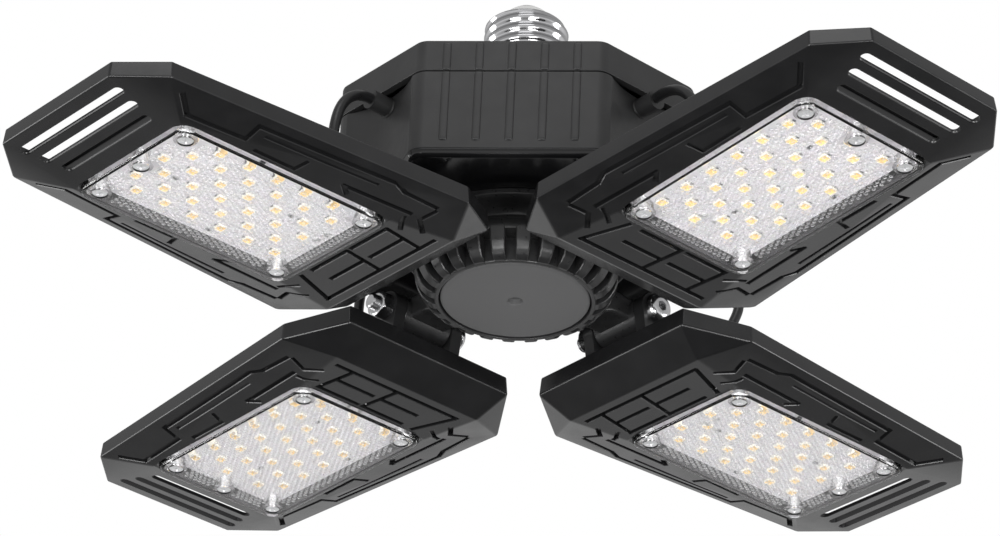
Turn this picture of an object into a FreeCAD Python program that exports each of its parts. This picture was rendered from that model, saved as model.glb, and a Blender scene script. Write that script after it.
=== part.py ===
import FreeCAD, Part
import Sketcher
import math
import os

V = FreeCAD.Vector
doc = FreeCAD.newDocument("garage_light")
sheet = doc.addObject("Spreadsheet::Sheet", "dims")

# ---------------------------------------------------------------- dimensions
# Heights ("z" cells) are measured from the flat top of the driver housing,
# +Z up; the whole lamp is then lowered by neck_height so that the origin is
# at the shoulder of the screw shell.  Blade cells are in the blade's own
# directions: u outwards from the lamp's axis, v across the blade.


class Q:
    """a number together with the spreadsheet expression that gives it"""

    def __init__(self, v, s):
        self.v = float(v)
        self.s = s

    @staticmethod
    def of(o):
        return o if isinstance(o, Q) else Q(o, "%.6g" % o if o >= 0 else "(%.6g)" % o)

    def __add__(self, o):
        o = Q.of(o)
        return Q(self.v + o.v, "(%s + %s)" % (self.s, o.s))

    def __radd__(self, o):
        return Q.of(o) + self

    def __sub__(self, o):
        o = Q.of(o)
        return Q(self.v - o.v, "(%s - %s)" % (self.s, o.s))

    def __rsub__(self, o):
        return Q.of(o) - self

    def __mul__(self, o):
        o = Q.of(o)
        return Q(self.v * o.v, "(%s * %s)" % (self.s, o.s))

    def __rmul__(self, o):
        return Q.of(o) * self

    def __neg__(self):
        return Q(-self.v, "(0 - %s)" % self.s)


row = [1]


def cell(name, value, note=""):
    r = row[0]
    sheet.set("A%d" % r, name)
    sheet.set("B%d" % r, "%.6g" % value)
    sheet.setAlias("B%d" % r, name)
    if note:
        sheet.set("C%d" % r, note)
    row[0] += 1
    return Q(value, "dims." + name)


neck_height = cell("neck_height", 19.0, "shoulder of the screw shell above the housing top")
# screw base
shell_radius = cell("shell_radius", 13.2, "plain rim of the screw shell")
crest_radius = cell("crest_radius", 13.12, "thread crests")
root_radius = cell("root_radius", 12.3, "thread roots")
thread_pitch = cell("thread_pitch", 3.63)
shell_wall = cell("shell_wall", 0.5)
shell_height = cell("shell_height", 20.8)
rim_height = cell("rim_height", 3.2)
# driver housing, an octagon
flat_dist = cell("flat_dist", 52.8, "axis to the flat sides")
flat_half = cell("flat_half", 27.0, "half of a flat side")
wall = cell("wall_thick", 2.2)
z_seam = cell("z_seam", -10.8)
seam_gap = cell("seam_gap", 0.3)
z_shell_low = cell("z_shell_low", -37.4)
z_base_low = cell("z_base_low", -39.8)
cover_roof = cell("cover_roof", 2.4)
scallop_centre = cell("scallop_centre", 87.0)
scallop_radius = cell("scallop_radius", 34.0)
cavity_half = cell("cavity_half", 13.4)
rib_pitch = cell("rib_pitch", 9.6)
rib_wide = cell("rib_wide", 2.4)
rib_proud = cell("rib_proud", 0.7)
z_rib_low = cell("z_rib_low", -34.7)
z_board = cell("z_board", -32.0)
board_thick = cell("board_thick", 1.6)
# hub
flange_radius = cell("flange_radius", 34.8)
hub_radius = cell("hub_radius", 30.6)
z_hub_low = cell("z_hub_low", -58.5)
cap_radius = cell("cap_radius", 22.5)
cap_gap = cell("cap_gap", 0.3)
ring_radius = cell("ring_radius", 24.2)
fin_slot = cell("fin_slot", 3.2)
z_slot_top = cell("z_slot_top", -50.8)
# hinge
hinge_dist = cell("hinge_dist", 45.0, "axis of the lamp to a hinge pin")
z_hinge = cell("z_hinge", -48.0)
barrel_radius = cell("barrel_radius", 5.4)
barrel_half = cell("barrel_half", 9.0)
ear_gap = cell("ear_gap", 0.3)
ear_thick = cell("ear_thick", 4.0)
pin_radius = cell("pin_radius", 2.5)
pin_clear = cell("pin_clear", 0.08)
# blade frame
u_outer = cell("u_outer", 169.1)
v_outer = cell("v_outer", 24.6)
z_outer = cell("z_outer", -66.0)
u_oc = cell("u_outer_chamfer", 156.9)
v_oc = cell("v_outer_chamfer", 36.6)
z_oc = cell("z_outer_chamfer", -66.3)
u_ic = cell("u_inner_chamfer", 56.3)
v_ic = cell("v_inner_chamfer", 43.5)
z_ic = cell("z_inner_chamfer", -66.6)
u_ie = cell("u_inner_end", 38.6)
v_ie = cell("v_inner_end", 31.7)
z_ie = cell("z_inner_end", -63.3)
u_fe = cell("u_face_edge", 48.7)
v_fe = cell("v_face_edge", 28.2)
z_fe = cell("z_face_edge", -69.7)
z_open = cell("z_opening", -69.9)
z_skirt = cell("z_skirt_top", -60.8)
z_skirt_in = cell("z_skirt_inner", -57.0)
frame_wall = cell("frame_wall", 2.0)
lens_in = cell("lens_inner", 69.9)
lens_len = cell("lens_length", 73.7)
lens_half = cell("lens_half", 24.4)
z_lens = cell("z_lens", -71.35)
lens_thick = cell("lens_thick", 1.4)
lens_corner = cell("lens_corner", 4.0)
open_gap = cell("opening_gap", 0.4)
flange_wide = cell("flange_wide", 2.4)
z_flange = cell("z_flange_low", -68.2)
flange_thick = cell("flange_thick", 1.0)
z_pcb = cell("z_led_board", -66.2)
z_plate = cell("z_plate_low", -64.5)
plate_thick = cell("plate_thick", 1.8)
cable_dia = cell("cable_dia", 3.2)
tilt_a = cell("tilt_a", -0.7, "hangs a little below level in the photograph")
tilt_b = cell("tilt_b", 4.45, "the blade that the photograph shows raised")
tilt_c = cell("tilt_c", -0.9, "hangs a little below level in the photograph")
doc.recompute()

BLADES = {"a": 225.0, "b": 315.0, "c": 135.0, "d": 45.0}
TILT = {"a": tilt_a.v, "b": tilt_b.v, "c": tilt_c.v, "d": 0.0}
parts = []


def root_place(obj):
    obj.Placement = FreeCAD.Placement(V(0, 0, -neck_height.v), FreeCAD.Rotation())


def blade_place(obj, blade):
    t = TILT[blade]
    h = V(hinge_dist.v, 0, z_hinge.v)
    p = FreeCAD.Placement(V(0, 0, -neck_height.v), FreeCAD.Rotation(V(0, 0, 1), BLADES[blade]))
    p = p.multiply(FreeCAD.Placement(h, FreeCAD.Rotation(V(0, 1, 0), -t)))
    p = p.multiply(FreeCAD.Placement(-h, FreeCAD.Rotation()))
    obj.Placement = p


def keep(obj, label, blade=None):
    obj.Label = label
    if blade:
        blade_place(obj, blade)
    else:
        root_place(obj)
    parts.append((label, obj))
    return obj


# ---------------------------------------------------------------- body helpers
def new_body(label):
    b = doc.addObject("PartDesign::Body", label)
    b.Label = label
    return b


def plane(body, role):
    for f in body.Origin.OriginFeatures:
        if f.Role == role:
            return f


def pin_point(sk, geo, pos, x, y, tag):
    for axis, val, other in (("DistanceX", x, -2), ("DistanceY", y, -1)):
        val = Q.of(val)
        if abs(val.v) < 1e-9:
            sk.addConstraint(Sketcher.Constraint("PointOnObject", geo, pos, other))
            continue
        if val.v > 0:
            i = sk.addConstraint(Sketcher.Constraint(axis, -1, 1, geo, pos, val.v))
        else:
            val = -val
            i = sk.addConstraint(Sketcher.Constraint(axis, geo, pos, -1, 1, val.v))
        name = "%s%s" % (tag, axis[-1].lower())
        sk.renameConstraint(i, name)
        sk.setExpression("Constraints." + name, val.s)


def sketch(body, name, role="XY_Plane", offset=None, polys=(), circles=(), axis_line=False):
    sk = body.newObject("Sketcher::SketchObject", name)
    sk.AttachmentSupport = [(plane(body, role), "")]
    sk.MapMode = "FlatFace"
    if offset is not None:
        offset = Q.of(offset)
        sk.AttachmentOffset = FreeCAD.Placement(V(0, 0, offset.v), FreeCAD.Rotation())
        sk.setExpression("AttachmentOffset.Base.z", offset.s)
    for k, pts in enumerate(polys):
        pts = [(Q.of(x), Q.of(y)) for x, y in pts]
        n = len(pts)
        first = sk.GeometryCount
        for i in range(n):
            a, b = pts[i], pts[(i + 1) % n]
            sk.addGeometry(Part.LineSegment(V(a[0].v, a[1].v, 0), V(b[0].v, b[1].v, 0)), False)
        for i in range(n):
            sk.addConstraint(Sketcher.Constraint("Coincident", first + i, 2, first + (i + 1) % n, 1))
        for i in range(n):
            pin_point(sk, first + i, 1, pts[i][0], pts[i][1], "p%d_%d" % (k, i))
    for k, (x, y, r) in enumerate(circles):
        x, y, r = Q.of(x), Q.of(y), Q.of(r)
        g = sk.addGeometry(Part.Circle(V(x.v, y.v, 0), V(0, 0, 1), r.v), False)
        pin_point(sk, g, 3, x, y, "c%d" % k)
        i = sk.addConstraint(Sketcher.Constraint("Radius", g, r.v))
        sk.renameConstraint(i, "rad%d" % k)
        sk.setExpression("Constraints.rad%d" % k, r.s)
    return sk


def pad(body, name, sk, length, reversed_=False):
    f = body.newObject("PartDesign::Pad", name)
    f.Profile = sk
    f.Length = Q.of(length).v
    f.setExpression("Length", Q.of(length).s)
    f.Reversed = reversed_
    body.Tip = f
    return f


def pocket(body, name, sk, length, up=True):
    """cuts from the sketch upwards, or downwards, and makes sure it has cut"""
    doc.recompute()
    before = body.Shape.Volume
    f = body.newObject("PartDesign::Pocket", name)
    f.Profile = sk
    f.Length = Q.of(length).v
    f.setExpression("Length", Q.of(length).s)
    f.Reversed = up
    body.Tip = f
    doc.recompute()
    if not body.Shape.Volume < before - 0.01:
        raise RuntimeError("pocket %s in %s cut nothing" % (name, body.Label))
    return f


def revolve(body, name, pts, role="XZ_Plane"):
    sk = sketch(body, name + "_profile", role, None, [pts])
    f = body.newObject("PartDesign::Revolution", name)
    f.Profile = sk
    f.ReferenceAxis = (sk, ["V_Axis"])
    f.Angle = 360.0
    body.Tip = f
    return f


def polar(body, name, feature, count):
    before = body.Shape.Volume
    f = body.newObject("PartDesign::PolarPattern", name)
    f.Originals = [feature]
    f.Axis = (feature.Profile[0], ["N_Axis"])
    f.Angle = 360.0
    f.Occurrences = count
    body.Tip = f
    doc.recompute()
    if abs(body.Shape.Volume - before) < 0.01:
        raise RuntimeError("pattern %s changed nothing" % name)
    return f


def octagon(a, w):
    return [(-w, -a), (w, -a), (a, -w), (a, w), (w, a), (-w, a), (-a, w), (-a, -w)]


R2 = math.sqrt(0.5)

# ---------------------------------------------------------------- screw base
# the threaded shell is a thin drawn metal sleeve; crests and roots are rings
b = new_body("screw_shell")
pts = [(shell_radius - shell_wall - 0.4, 0), (shell_radius, 0), (shell_radius, rim_height)]
z = rim_height + 0.6
k = 0
while z.v + thread_pitch.v < shell_height.v - 0.3:
    pts += [(root_radius, z), (root_radius + 0.35, z + thread_pitch * 0.18), (crest_radius, z + thread_pitch * 0.38),
            (crest_radius, z + thread_pitch * 0.58), (root_radius + 0.35, z + thread_pitch * 0.8)]
    z = z + thread_pitch
    k += 1
pts += [(root_radius, z), (root_radius, shell_height - 1.4), (root_radius - 1.2, shell_height),
        (root_radius - 3.2, shell_height), (root_radius - 3.2, shell_height - 0.5), (root_radius - 1.5, shell_height - 0.5),
        (root_radius - shell_wall - 0.1, shell_height - 1.8), (root_radius - shell_wall - 0.1, rim_height),
        (shell_radius - shell_wall - 0.4, rim_height - 0.8)]
revolve(b, "shell_turn", [(x, y) for x, y in pts])
keep(b, "screw_shell")
b.Placement = FreeCAD.Placement(V(0, 0, 0), FreeCAD.Rotation())

b = new_body("base_insulator")
revolve(b, "insulator_turn", [(0, shell_height - 1.4), (root_radius - 2.6, shell_height - 1.4), (root_radius - 3.3, shell_height - 0.6),
                              (root_radius - 3.3, shell_height + 0.3), (7.4, shell_height + 2.8), (5.7, shell_height + 4.3), (3.6, shell_height + 4.3), (3.6, shell_height + 3.3), (0, shell_height + 3.3)])
keep(b, "base_insulator")
b.Placement = FreeCAD.Placement(V(0, 0, 0), FreeCAD.Rotation())

b = new_body("contact_tip")
revolve(b, "tip_turn", [(0, shell_height + 3.3), (3.6, shell_height + 3.3), (3.6, shell_height + 4.3), (4.9, shell_height + 4.3),
                        (4.6, shell_height + 5.2), (3.4, shell_height + 6.0), (1.6, shell_height + 6.4), (0, shell_height + 6.5)])
keep(b, "contact_tip")
b.Placement = FreeCAD.Placement(V(0, 0, 0), FreeCAD.Rotation())

# ---------------------------------------------------------------- housing
ribs = [[(rib_pitch * i - rib_wide * 0.5, -flat_dist - rib_proud), (rib_pitch * i + rib_wide * 0.5, -flat_dist - rib_proud),
         (rib_pitch * i + rib_wide * 0.5, -flat_dist + 0.6), (rib_pitch * i - rib_wide * 0.5, -flat_dist + 0.6)] for i in (-2, -1, 0, 1, 2)]
diag = scallop_centre * R2
scallops = [(diag, diag, scallop_radius), (-diag, diag, scallop_radius), (-diag, -diag, scallop_radius), (diag, -diag, scallop_radius)]
screw_at = 31.0


def posts(r):
    return [(screw_at * sx, 46.0 * 0 + 36.0 * sy, r) for sx in (-1, 1) for sy in (-1, 1)]


POST = [(42.0, 18.0), (42.0, -18.0), (-42.0, 18.0), (-42.0, -18.0)]

# top cover with the neck that carries the screw shell
b = new_body("housing_cover")
z_cov = z_seam + seam_gap
sk = sketch(b, "cover_outline", offset=z_cov, polys=[octagon(flat_dist, flat_half)])
pad(b, "cover_block", sk, -z_cov)
doc.recompute()
sk = sketch(b, "cover_cavity", offset=z_cov, polys=[octagon(flat_dist - wall, flat_half - 0.9)])
pocket(b, "cover_hollow", sk, -z_cov - cover_roof)
sk = sketch(b, "cover_ribs", offset=z_cov, polys=ribs)
f = pad(b, "cover_rib_pads", sk, -z_cov - 0.8)
doc.recompute()
polar(b, "cover_rib_ring", f, 4)
sk = sketch(b, "neck_foot", offset=-0.4, circles=[(0, 0, 20.0)])
pad(b, "neck_step", sk, 3.4)
sk = sketch(b, "neck_ring", offset=2.0, circles=[(0, 0, 15.4)])
pad(b, "neck_tube", sk, neck_height - 2.0)
sk = sketch(b, "neck_spigot", offset=neck_height - 0.5, circles=[(0, 0, shell_radius - shell_wall - 0.4)])
pad(b, "spigot_tube", sk, rim_height - 0.6)
doc.recompute()
sk = sketch(b, "neck_bore", offset=-cover_roof - 0.1, circles=[(0, 0, 9.6)])
pocket(b, "neck_hollow", sk, neck_height + 12.0)
sk = sketch(b, "cover_posts", offset=z_cov, circles=[(x, y, 3.4) for x, y in POST])
pad(b, "cover_bosses", sk, -z_cov - 1.0)
doc.recompute()
sk = sketch(b, "cover_pilots", offset=z_cov, circles=[(x, y, 1.4) for x, y in POST])
pocket(b, "cover_pilot_holes", sk, 6.0)
keep(b, "housing_cover")

# lower shell, scalloped at the chamfers where the cables come out
b = new_body("driver_housing")
sk = sketch(b, "shell_outline", offset=z_shell_low, polys=[octagon(flat_dist, flat_half)])
pad(b, "shell_block", sk, z_seam - z_shell_low)
doc.recompute()
sk = sketch(b, "shell_ribs", offset=z_rib_low, polys=ribs)
f = pad(b, "shell_rib_pads", sk, z_seam - z_rib_low)
doc.recompute()
polar(b, "shell_rib_ring", f, 4)
sk = sketch(b, "shell_cavity", offset=z_shell_low - 1.0, polys=[octagon(flat_dist - wall, cavity_half)])
pocket(b, "shell_hollow", sk, z_seam - z_shell_low + 3.0)
sk = sketch(b, "shell_scallops", offset=z_shell_low - 1.0, circles=scallops)
pocket(b, "shell_scallop_cuts", sk, z_seam - z_shell_low + 3.0)
sk = sketch(b, "shell_posts", offset=z_shell_low, circles=[(x, y, 3.6) for x, y in POST])
pad(b, "shell_bosses", sk, z_seam - z_shell_low)
doc.recompute()
sk = sketch(b, "shell_clear", offset=z_shell_low - 1.0, circles=[(x, y, 1.8) for x, y in POST])
pocket(b, "shell_clear_holes", sk, z_seam - z_shell_low + 3.0)
# four round cable outlets, one through each scalloped wall
z_exit = cell("z_exit", -14.0)
gland_radius = cell("gland_radius", 3.0)
doc.recompute()
cutters = []
for az in BLADES.values():
    c = Part.makeCylinder(gland_radius.v, 14.0, V(40, 0, z_exit.v), V(1, 0, 0))
    c.rotate(V(0, 0, 0), V(0, 0, 1), az)
    cutters.append(c)
hole_tool = doc.addObject("Part::Feature", "outlet_tool")
hole_tool.Shape = Part.makeCompound(cutters)
shell_cut = doc.addObject("Part::Cut", "driver_housing_cut")
b.Label = "driver_housing_blank"
shell_cut.Base = b
shell_cut.Tool = hole_tool
doc.recompute()
keep(shell_cut, "driver_housing")

# base plate, glossy, with the lead hole and the screw holes
b = new_body("housing_base")
sk = sketch(b, "base_outline", offset=z_base_low, polys=[octagon(flat_dist, flat_half)])
pad(b, "base_block", sk, z_shell_low - z_base_low)
doc.recompute()
sk = sketch(b, "base_scallops", offset=z_base_low - 1.0, circles=scallops)
pocket(b, "base_scallop_cuts", sk, 6.0)
HUBSCREW = [(25.0, 0.0), (0.0, 25.0), (-25.0, 0.0), (0.0, -25.0)]
sk = sketch(b, "base_holes", offset=z_base_low - 1.0, circles=[(x, y, 1.8) for x, y in POST + HUBSCREW] + [(0, 0, 5.0)])
pocket(b, "base_hole_cuts", sk, 6.0)
keep(b, "housing_base")

# screws that clamp base, shell and cover, heads below the base plate
screws = []
for x, y in POST:
    s = Part.makeCylinder(3.0, 1.8, V(x, y, z_base_low.v - 1.8)).fuse(
        Part.makeCylinder(1.4, -z_base_low.v - 5.0 + 0.0, V(x, y, z_base_low.v)))
    s = s.removeSplitter()
    slot = Part.makeBox(4.2, 0.8, 0.9, V(x - 2.1, y - 0.4, z_base_low.v - 1.8)).fuse(Part.makeBox(0.8, 4.2, 0.9, V(x - 0.4, y - 2.1, z_base_low.v - 1.8)))
    screws.append(s.cut(slot))
o = doc.addObject("Part::Feature", "housing_screws")
o.Shape = Part.makeCompound(screws)
keep(o, "housing_screws")

# ---------------------------------------------------------------- driver
b = new_body("driver_board")
sk = sketch(b, "board_outline", offset=z_board, polys=[octagon(flat_dist - wall - 1.0, cavity_half - 1.2)])
pad(b, "board_block", sk, board_thick)
doc.recompute()
sk = sketch(b, "board_holes", offset=z_board - 1.0, circles=[(x, y, 4.0) for x, y in POST] + [(0, 0, 4.0)])
pocket(b, "board_hole_cuts", sk, 4.0)
keep(b, "driver_board")

zb = z_board.v + board_thick.v
core = Part.makeBox(24, 20, 5, V(-30, -6, zb)).fuse(Part.makeBox(24, 20, 5, V(-30, -6, zb + 11)))
core = core.fuse(Part.makeBox(4, 20, 16, V(-30, -6, zb))).fuse(Part.makeBox(4, 20, 16, V(-10, -6, zb)))
coil = Part.makeCylinder(7.0, 6, V(-18, 4, zb + 5))
o = doc.addObject("Part::Feature", "transformer")
o.Shape = core.fuse(coil).removeSplitter()
keep(o, "transformer")

caps = []
for x, y, r, h_ in ((14, 22, 6.0, 16), (28, 10, 5.0, 14), (10, -24, 4.0, 12), (22, -20, 4.0, 12), (-16, -26, 5.0, 13), (28, -6, 3.2, 9)):
    c = Part.makeCylinder(r, h_, V(x, y, zb))
    c = c.makeFillet(0.6, [e for e in c.Edges if len(e.Vertexes) == 1 and e.BoundBox.ZMin > zb + 1])
    caps.append(c)
o = doc.addObject("Part::Feature", "capacitors")
o.Shape = Part.makeCompound(caps)
keep(o, "capacitors")

# ---------------------------------------------------------------- hub
# turned bell: flange under the base plate, waist, finned bowl, recess for the cap
b = new_body("hub_heat_sink")
zf = z_base_low
revolve(b, "hub_turn", [
    (5.0, zf), (flange_radius, zf), (flange_radius, zf - 1.9), (flange_radius - 1.0, zf - 2.5), (flange_radius - 4.6, zf - 3.2),
    (hub_radius - 2.6, zf - 4.8), (hub_radius - 1.6, zf - 6.4), (hub_radius - 0.4, zf - 7.6), (hub_radius, zf - 9.0), (hub_radius - 0.1, zf - 10.8),
    (hub_radius - 0.9, zf - 13.4), (hub_radius - 2.2, zf - 15.8), (hub_radius - 3.9, zf - 17.7), (ring_radius + 0.4, z_hub_low + 0.2), (ring_radius, z_hub_low - 0.1),
    (cap_radius + cap_gap, z_hub_low - 0.1), (cap_radius + cap_gap, z_hub_low + 3.0), (5.0, z_hub_low + 3.0)])
doc.recompute()
sk = sketch(b, "fin_slot_outline", offset=z_hub_low - 1.0, polys=[[(ring_radius, -fin_slot * 0.5), (hub_radius + 3.0, -fin_slot * 0.5), (hub_radius + 3.0, fin_slot * 0.5), (ring_radius, fin_slot * 0.5)]])
f = pocket(b, "fin_slot_cut", sk, z_slot_top - z_hub_low + 1.0)
polar(b, "fin_ring", f, 24)
# arms with a barrel at the end, one towards each blade
b.Label = "hub_blank"
arms = []
bores = []
for az in BLADES.values():
    arm = Part.makeBox(hinge_dist.v - 24.0, 2 * barrel_half.v - 4.0, 7.6, V(24.0, -barrel_half.v + 2.0, z_hinge.v - 2.6))
    web = Part.makeBox(8.0, 2 * barrel_half.v - 4.0, 9.0, V(24.0, -barrel_half.v + 2.0, z_hinge.v - 4.4))
    bar = Part.makeCylinder(barrel_radius.v, 2 * barrel_half.v, V(hinge_dist.v, -barrel_half.v, z_hinge.v), V(0, 1, 0))
    a = arm.fuse([bar, web])
    bore = Part.makeCylinder(pin_radius.v + pin_clear.v, 2 * barrel_half.v + 2, V(hinge_dist.v, -barrel_half.v - 1, z_hinge.v), V(0, 1, 0))
    for s in (a, bore):
        s.rotate(V(0, 0, 0), V(0, 0, 1), az)
    arms.append(a)
    bores.append(bore)
arm_tool = doc.addObject("Part::Feature", "arm_blank")
arm_tool.Shape = Part.makeCompound(arms)
bore_tool = doc.addObject("Part::Feature", "bore_blank")
for x, y in HUBSCREW:
    bores.append(Part.makeCylinder(1.4, 6.0, V(x, y, z_base_low.v - 5.0)))
bore_tool.Shape = Part.makeCompound(bores)
fuse = doc.addObject("Part::MultiFuse", "hub_fuse")
fuse.Shapes = [b, arm_tool]
fuse.Refine = False
doc.recompute()
cut = doc.addObject("Part::Cut", "hub_cut")
cut.Base = fuse
cut.Tool = bore_tool
doc.recompute()
keep(cut, "hub_heat_sink")

hs = []
for x, y in HUBSCREW:
    s = Part.makeCylinder(2.8, 1.6, V(x, y, z_shell_low.v)).fuse(Part.makeCylinder(1.4, 6.4, V(x, y, z_shell_low.v - 6.4)))
    hs.append(s.removeSplitter())
o = doc.addObject("Part::Feature", "hub_screws")
o.Shape = Part.makeCompound(hs)
keep(o, "hub_screws")

b = new_body("hub_cap")
zc = z_hub_low
revolve(b, "cap_turn", [(0, zc + 3.0), (cap_radius, zc + 3.0), (cap_radius, zc + 1.0), (cap_radius - 0.5, zc + 0.3), (cap_radius - 1.2, zc),
                        (2.4, zc), (1.9, zc + 0.25), (1.2, zc + 0.6), (0, zc + 0.7)])
keep(b, "hub_cap")

# rubber glands in the four outlets
gl = []
for az in BLADES.values():
    body_ = Part.makeCylinder(gland_radius.v - 0.05, 8.0, V(45.2, 0, z_exit.v), V(1, 0, 0))
    lip = Part.makeCone(3.3, 2.6, 0.9, V(53.2, 0, z_exit.v), V(1, 0, 0))
    g = body_.fuse(lip).removeSplitter().cut(Part.makeCylinder(cable_dia.v / 2 + 0.12, 12.0, V(43, 0, z_exit.v), V(1, 0, 0)))
    g.rotate(V(0, 0, 0), V(0, 0, 1), az)
    gl.append(g)
o = doc.addObject("Part::Feature", "cable_glands")
o.Shape = Part.makeCompound(gl)
keep(o, "cable_glands")


# ---------------------------------------------------------------- blades
def face(pts):
    return Part.Face(Part.makePolygon([V(*p) for p in pts] + [V(*pts[0])]))


def frame_shape():
    """die-cast bezel: sloped faces round the lens opening, chamfered corners
    and a shallow skirt; the back is open for the heat sink"""
    def rim(inset=0.0):
        k = inset
        return {
            "oe": (u_outer.v - k, v_outer.v - 0.4 * k), "oc": (u_oc.v - 0.4 * k, v_oc.v - k),
            "ic": (u_ic.v + 0.45 * k, v_ic.v - k), "ie": (u_ie.v + k, v_ie.v - 0.55 * k)}
    zr = {"oe": z_outer.v, "oc": z_oc.v, "ic": z_ic.v, "ie": z_ie.v}
    zt = {"oe": z_skirt.v, "oc": z_skirt.v, "ic": z_skirt.v, "ie": z_skirt_in.v}
    lo = rim(0.0)
    hi = rim(0.5)
    L = {}
    for sgn in (1, -1):
        for k in lo:
            L[k, sgn] = (lo[k][0], sgn * lo[k][1], zr[k])
            L["t" + k, sgn] = (hi[k][0], sgn * hi[k][1], zt[k])
        L["li", sgn] = (lens_in.v - open_gap.v, sgn * (lens_half.v + open_gap.v), z_open.v)
        L["lo", sgn] = (lens_in.v + lens_len.v + open_gap.v, sgn * (lens_half.v + open_gap.v), z_open.v)
        L["fe", sgn] = (u_fe.v, sgn * v_fe.v, z_fe.v)
    fs = []

    def quad(a, b, c, d):
        pa = [V(*q) for q in (a, b, c, d)]
        n = (pa[1] - pa[0]).cross(pa[2] - pa[0])
        if abs(n.normalize().dot(pa[3] - pa[0])) < 1e-7:
            fs.append(face([a, b, c, d]))
        else:
            fs.append(face([a, b, c]))
            fs.append(face([a, c, d]))
    for s in (1, -1):
        fs.append(face([L["lo", s], L["oe", s], L["oc", s]]))
        fs.append(face([L["lo", s], L["oc", s], L["ic", s]]))
        fs.append(face([L["lo", s], L["ic", s], L["li", s]]))
        fs.append(face([L["li", s], L["ic", s], L["fe", s]]))
        fs.append(face([L["fe", s], L["ic", s], L["ie", s]]))
        for a, b_ in (("oe", "oc"), ("oc", "ic"), ("ic", "ie")):
            quad(L[a, s], L[b_, s], L["t" + b_, s], L["t" + a, s])
    quad(L["li", 1], L["li", -1], L["fe", -1], L["fe", 1])
    quad(L["fe", 1], L["fe", -1], L["ie", -1], L["ie", 1])
    quad(L["lo", 1], L["lo", -1], L["oe", -1], L["oe", 1])
    quad(L["oe", 1], L["oe", -1], L["toe", -1], L["toe", 1])
    quad(L["ie", 1], L["ie", -1], L["tie", -1], L["tie", 1])
    quad(L["li", 1], L["li", -1], L["lo", -1], L["lo", 1])
    # back: a flat field and the rise towards the hub
    fs.append(face([L["toe", 1], L["toe", -1], L["toc", -1], L["tic", -1], L["tic", 1], L["toc", 1]]))
    quad(L["tic", 1], L["tic", -1], L["tie", -1], L["tie", 1])
    sh = Part.Shell(fs)
    sh.sewShape()
    solid = Part.Solid(sh)
    if solid.Volume < 0:
        solid = Part.Solid(sh.reversed())
    # hollow from the back
    w = frame_wall.v
    inn = rim(w + 0.5)
    order = [("oe", 1), ("oc", 1), ("ic", 1), ("ie", 1), ("ie", -1), ("ic", -1), ("oc", -1), ("oe", -1)]
    wire = Part.makePolygon([V(inn[k][0], s * inn[k][1], z_plate.v) for k, s in order + order[:1]])
    solid = solid.cut(Part.Face(wire).extrude(V(0, 0, 20)))
    fw = flange_wide.v + 0.3
    x0, x1, y1 = lens_in.v - fw, lens_in.v + lens_len.v + fw, lens_half.v + fw
    solid = solid.cut(Part.makeBox(x1 - x0, 2 * y1, 10, V(x0, -y1, z_flange.v)))
    g = open_gap.v
    op = Part.makeBox(lens_len.v + 2 * g, 2 * lens_half.v + 2 * g, 12, V(lens_in.v - g, -lens_half.v - g, -75))
    op = op.makeFillet(lens_corner.v + g, [e for e in op.Edges if abs(e.tangentAt(0).z) > 0.9])
    solid = solid.cut(op)
    # the wall is thin behind the vents
    thin = Part.Face(Part.makePolygon([V(148.4, -23.8, -68.0), V(165.6, -23.8, -65.35), V(165.6, -23.8, -60.0), V(148.4, -23.8, -60.0), V(148.4, -23.8, -68.0)]))
    solid = solid.cut(thin.extrude(V(0, 47.6, 0)))
    # three long vents at the outer end
    for u, half in ((151.2, 19.4), (157.4, 21.4), (163.4, 23.0)):
        vent = Part.makeBox(3.0, 2 * half, 14, V(u - 1.5, -half, -72))
        vent = vent.makeFillet(1.4, [e for e in vent.Edges if abs(e.tangentAt(0).z) > 0.9])
        solid = solid.cut(vent)
    return solid.removeSplitter()


SCREWS = [(lens_in.v + 5.0, 19.6), (lens_in.v + 5.0, -19.6), (lens_in.v + lens_len.v - 5.0, 19.6),
          (lens_in.v + lens_len.v - 5.0, -19.6), (lens_in.v + lens_len.v - 4.6, 0.0)]
GROM = {"a": 70.0, "b": 77.0, "c": 70.0, "d": 78.0}
PLATE_END = 149.0


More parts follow.
